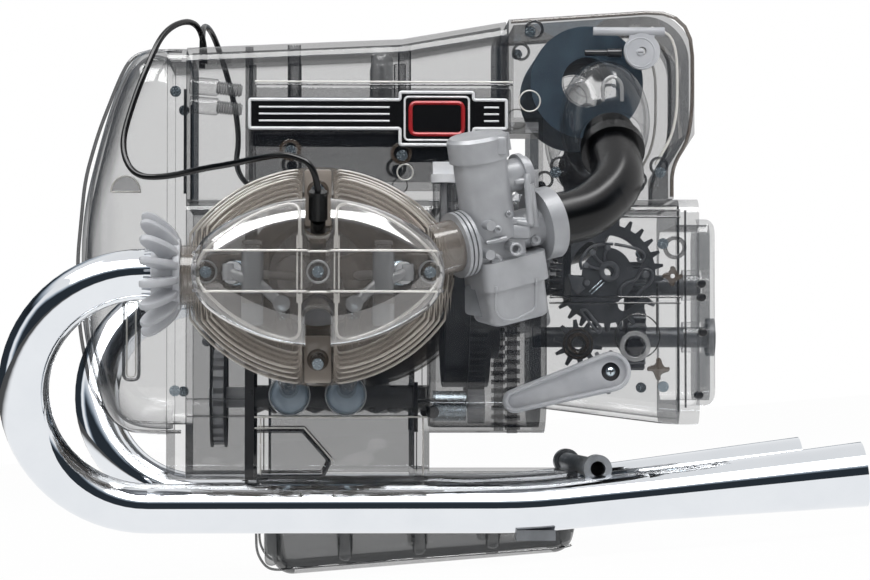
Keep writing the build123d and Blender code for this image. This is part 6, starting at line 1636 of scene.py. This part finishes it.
@dataclass
class SelectorTrim:
    """Raised ribs, pins and hub of the two selector wheels and the shift lever's rim."""

    plate_face: float = -47.4
    hub: Flat = (129.9, 5.0)
    ribs: tuple[Outline, ...] = (
        ((116.8, 5.7), (116.1, 9.3), (117.9, 12.9), (121.5, 16.6), (127.3, 18), (131.7, 18)),
        ((118.6, 7.8), (123, 6.4), (125.9, 5.7)),
        ((121.9, 14), (124.4, 10.4), (127, 8.2)),
        ((129.1, 16.2), (127.6, 12.5), (128.0, 9.5)),
        ((132.4, 18), (139.6, 16.6), (144.7, 14.8), (146.5, 12.2), (144.7, 9.7), (143.3, 11.5)),
        ((134.9, -6), (135.3, -3.1), (138.2, -0.5), (142.5, 1.3), (145.4, 5.3), (149, 5.7),
         (150.5, 2.8), (149, -0.9), (145.4, -3.8), (142.5, -7.4)),
    )
    pins: tuple[Triple, ...] = (
        (118.6, 7.8, 1.5), (121.9, 14.0, 1.5), (129.1, 16.2, 1.5), (119.0, -0.5, 1.5),
        (147.2, 3.5, 1.8),
    )
    blade: Outline = (
        (109.9, 3.8), (117.9, 2.0), (116.5, -1.6), (118.6, -3.1), (114.7, -6.3), (112.1, -3.1),
    )
    lever_face: float = -71.6
    lever_axis: Flat = (128.5, -43.0)
    lever_length: float = 47.0
    lever_angle: float = math.radians(197)
    lever_radii: Flat = (9.4, 5.6)
    rim_inset: float = 1.3
    rim_steps: int = 18
    screw_head: Outline = ((2.3, 0), (2.4, 0.5), (2.3, 0.9), (1.7, 1.4), (0, 1.6))

    def build(self) -> None:
        """Make the trim of the wheels and of the lever."""
        self.plate()
        self.gear()
        self.lever()

    def plate(self) -> None:
        """Trim the selector plate."""
        face = self.plate_face
        pieces = [
            SHOP.wall(rib, 1.8, 1.5, facing_left(0, face + 0.3, 0)) for rib in self.ribs
        ]
        pieces += [
            SHOP.rod((x, face + 0.3, z), (x, face - 2.2, z), radius, 0.5, 18)
            for x, z, radius in self.pins
        ]
        pieces.append(SHOP.washer(4.9, 2.4, 2.2, (self.hub[0], face + 0.3, self.hub[1]), 0.6))
        blade = softened(self.blade, 1.0, True)
        pieces.append(SHOP.plate([blade], 1.5, facing_left(0, face + 0.2, 0)))
        SHOP.done(pieces, "selector_ribs", "selector_plate", "dark_grey", Finish.RIB_GREY)
        y = face - 0.5
        rods = [
            SHOP.rod((126.6 + d, y, 0.9 - d), (120.1 + d, y, -4.9 - d), 0.35, 0.1, 10)
            for d in (0.0, 1.1)
        ]
        SHOP.done(rods, "selector_wires", "selector_plate", "zinc_steel")

    def gear(self) -> None:
        """Trim the lower selector wheel."""
        back = (115.0, self.plate_face + 0.3, -29.5)
        pieces = [
            SHOP.washer(5.4, 3.5, 1.4, back, 0.5), SHOP.washer(7.2, 6.3, 0.8, back, 0.4),
        ]
        SHOP.done(pieces, "selector_gear_hub", "selector_gear", "dark_grey", Finish.BRONZE)

    def rim(self, inset: float) -> list[Flat]:
        """Return the lever's outline drawn in by a distance."""
        big, small = (radius - inset for radius in self.lever_radii)
        lean = math.acos((self.lever_radii[0] - self.lever_radii[1]) / self.lever_length)
        x, z = self.lever_axis
        end = (
            x + self.lever_length * math.cos(self.lever_angle),
            z + self.lever_length * math.sin(self.lever_angle),
        )
        made = []
        for centre, radius, start, sweep in (
            ((x, z), big, self.lever_angle + lean, math.tau - 2 * lean),
            (end, small, self.lever_angle - lean, 2 * lean),
        ):
            for step in range(self.rim_steps + 1):
                angle = start + sweep * step / self.rim_steps
                made.append(tuple(
                    spot + radius * turn(angle)
                    for spot, turn in zip(centre, (math.cos, math.sin))
                ))
        return made

    def lever(self) -> None:
        """Trim the shift lever."""
        skin = Skin("shift_lever")
        near = self.lever_face
        rims = [skin.bead(self.rim(self.rim_inset), near, 8, 1.0, closed=True)]
        SHOP.done(rims, "shift_lever_rim", "shift_lever", "light_grey")
        x, z = self.lever_axis
        face = skin.depth(x + 4.0, z, near, 8)
        # Painted shade: a black disc in the counterbore round the screw.
        well = [SHOP.plate([circle(4.4)], 0.9, facing_left(x, face + 0.5, z), 0.2)]
        SHOP.done(well, "shift_lever_well", "shift_lever", "light_grey", Finish.GASKET)
        head = SHOP.turned(self.screw_head, (x, face - 0.3, z), LEFTWARDS, 20)
        SHOP.done([head], "shift_lever_screw", "shift_lever", "zinc_steel")
        # Painted shade: black bars stand for the dark cross slots of the screw.
        slots = [
            SHOP.block((x, face - 1.7, z), (2.6, 0.5, 0.55), 0.1),
            SHOP.block((x, face - 1.7, z), (0.55, 0.5, 2.6), 0.1),
        ]
        SHOP.done(slots, "shift_lever_screw_slot_shade", "shift_lever", "zinc_steel", Finish.GASKET)


@dataclass
class CarburettorTrim:
    """Screws, rods, lugs and ribs of both carburettors, and a painted shade on each float bowl."""

    apart: float = 18.0
    near: float = -118.0
    reach: float = 28.0
    screws: tuple[Triple, ...] = (
        (89.3, 16.1, 2.1), (71.1, 6.3, 2.5), (71.5, 19.8, 1.7), (76.5, 27.0, 1.3),
        (85.0, 25.0, 1.3),
    )
    rods: tuple[tuple[Flat, float, Flat, Flat, float, float, int], ...] = (
        ((85.5, 34.0), 1.0, (84.9, 45.6), (86.6, 22.6), 1.6, 0.5, 16),
        ((85.5, 34.0), 0.4, (79.5, 41.8), (86.5, 43.0), 1.5, 0.5, 14),
        ((85.5, 34.0), 0.4, (80.5, 24.0), (88.0, 23.0), 1.4, 0.5, 14),
        ((71.0, 15.6), 0.6, (66.5, 14.0), (76.0, 16.4), 1.2, 0.4, 14),
    )
    bowl_frame: Outline = (
        (70.9, -5.4), (70.9, -16.8), (74.0, -20.5), (79.5, -20.5), (84.4, -18.0), (89.4, -15.6),
        (89.4, -1.4),
    )

    def build(self) -> None:
        """Make the trim of both."""
        body = Skin("carb_bodies")
        bowl = Skin("float_bowls")
        cap = Skin("carb_caps")
        pieces = []
        for x, z, radius in self.screws:
            y = min(skin.depth(x, z, self.near, self.reach) for skin in (body, bowl))
            pieces.append(SHOP.turned(
                ((radius * 1.25, 0), (radius * 1.25, 1.4), (radius, 1.6), (radius, 3.0),
                 (radius * 0.8, 3.4), (radius * 0.55, 3.4), (radius * 0.5, 2.6), (0, 2.6)),
                (x, y + 0.8, z), LEFTWARDS, 22,
            ))
        y = body.depth(79.9, 11.2, self.near, self.reach)
        pieces.append(SHOP.washer(3.0, 1.8, 5.0, (79.9, y + 0.8, 11.2), 0.5))
        for spot, lift, start, end, radius, soft, sides in self.rods:
            y = body.depth(*spot, self.near, self.reach) - lift
            pieces.append(SHOP.rod(
                (start[0], y, start[1]), (end[0], y, end[1]), radius, soft, sides
            ))
        y = body.depth(80.9, 20.2, self.near, self.reach)
        pieces.append(SHOP.block((80.9, y - 0.2, 19.6), (11.6, 4.0, 6.8), 1.4))
        pieces.append(SHOP.block((80.9, y - 1.4, 24.4), (9.0, 2.6, 3.4), 1.0))
        pieces.append(bowl.bead(softened(self.bowl_frame, 2.5), self.near, self.reach, 0.7))
        y = cap.depth(72.6, 57.0, -146, 14)
        pieces.append(SHOP.block((72.8, y + 0.4, 57.2), (5.2, 3.4, 8.4), 1.2))
        pieces.append(SHOP.block((67.4, y + 0.3, 57.2), (1.2, 2.0, 8.4), 0.4))
        twins(pieces, "carb_fittings", "silver_plastic", None, self.apart)
        # Painted shade: a mid-grey plate over the bowl's left part, where the silver faces away
        # from the light.
        y = bowl.depth(63.0, -10.0, self.near, self.reach)
        shade = SHOP.plate([softened([
            (57.6, -4.0), (57.6, -17.4), (69.6, -19.4), (69.6, -5.4)
        ], 2.0, True)], 0.8, facing_left(0, y + 0.3, 0), 0.25)
        twins([shade], "bowl_painted_shade", "silver_plastic", Finish.MID_GREY, self.apart)


@dataclass
class SumpTrim:
    """Bosses and dark seam of the oil sump."""

    face: float = -43.4
    bosses: Outline = (
        (-30.8, -136.0), (4.0, -133.7), (39.4, -130.9), (74.2, -128.0), (109.0, -125.3),
    )
    seam: Outline = (
        (-38.4, -104.0), (-37.9, -128.6), (-33.9, -135.3), (-29.4, -137.1), (27.8, -132.6),
        (106.3, -127.0), (112.0, -125.3),
    )

    def build(self) -> None:
        """Make the trim."""
        skin = Skin("oil_sump")
        trim = SideTrim("sump", "sump_grey")
        for x, low in self.bosses:
            y = skin.depth(x, low + 8, self.face, 5)
            trim.add(Finish.SUMP, SHOP.turned(
                ((0, 0), (1.8, 0.4), (2.9, 1.6), (3.3, 3.4), (3.3, -98.0 - low)),
                (x, y + 1.2, low + 1.0), UP, 20,
            ))
            trim.add(Finish.LINE, SHOP.bead(
                [(x + 3.4, y - 0.2, low + 6.0), (x + 3.4, y - 0.2, -99.0)], HAIR, rounding=1
            ))
        trim.add(Finish.LINE, skin.bead(softened(self.seam, 4.0), self.face, 5, 0.6))
        trim.finish()


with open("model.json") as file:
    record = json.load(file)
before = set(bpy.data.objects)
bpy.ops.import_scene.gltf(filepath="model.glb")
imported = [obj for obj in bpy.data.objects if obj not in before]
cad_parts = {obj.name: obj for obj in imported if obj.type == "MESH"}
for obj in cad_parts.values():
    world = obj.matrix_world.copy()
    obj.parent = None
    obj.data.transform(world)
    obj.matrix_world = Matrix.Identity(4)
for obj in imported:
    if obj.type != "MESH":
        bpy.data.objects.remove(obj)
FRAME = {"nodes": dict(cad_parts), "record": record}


def main() -> None:
    """Build the looks, one sub-assembly after another."""
    logging.basicConfig(level=logging.INFO, format="%(message)s")
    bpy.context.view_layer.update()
    for assembly in (
        Studio, PlugLeads, Dressing, HeadTrim, ValveCoverTrim, ExhaustNuts, ValveSprings,
        NamePlateTrim, FrontCoverTrim, TopCoverTrim, CaseTrim, AirboxTrim, GearboxTrim,
        SelectorTrim, CarburettorTrim, SumpTrim,
    ):
        assembly().build()
    bpy.context.scene.view_settings.view_transform = "Standard"
    bpy.context.scene.cycles.transparent_max_bounces = 40


if __name__ == "__main__":
    main()
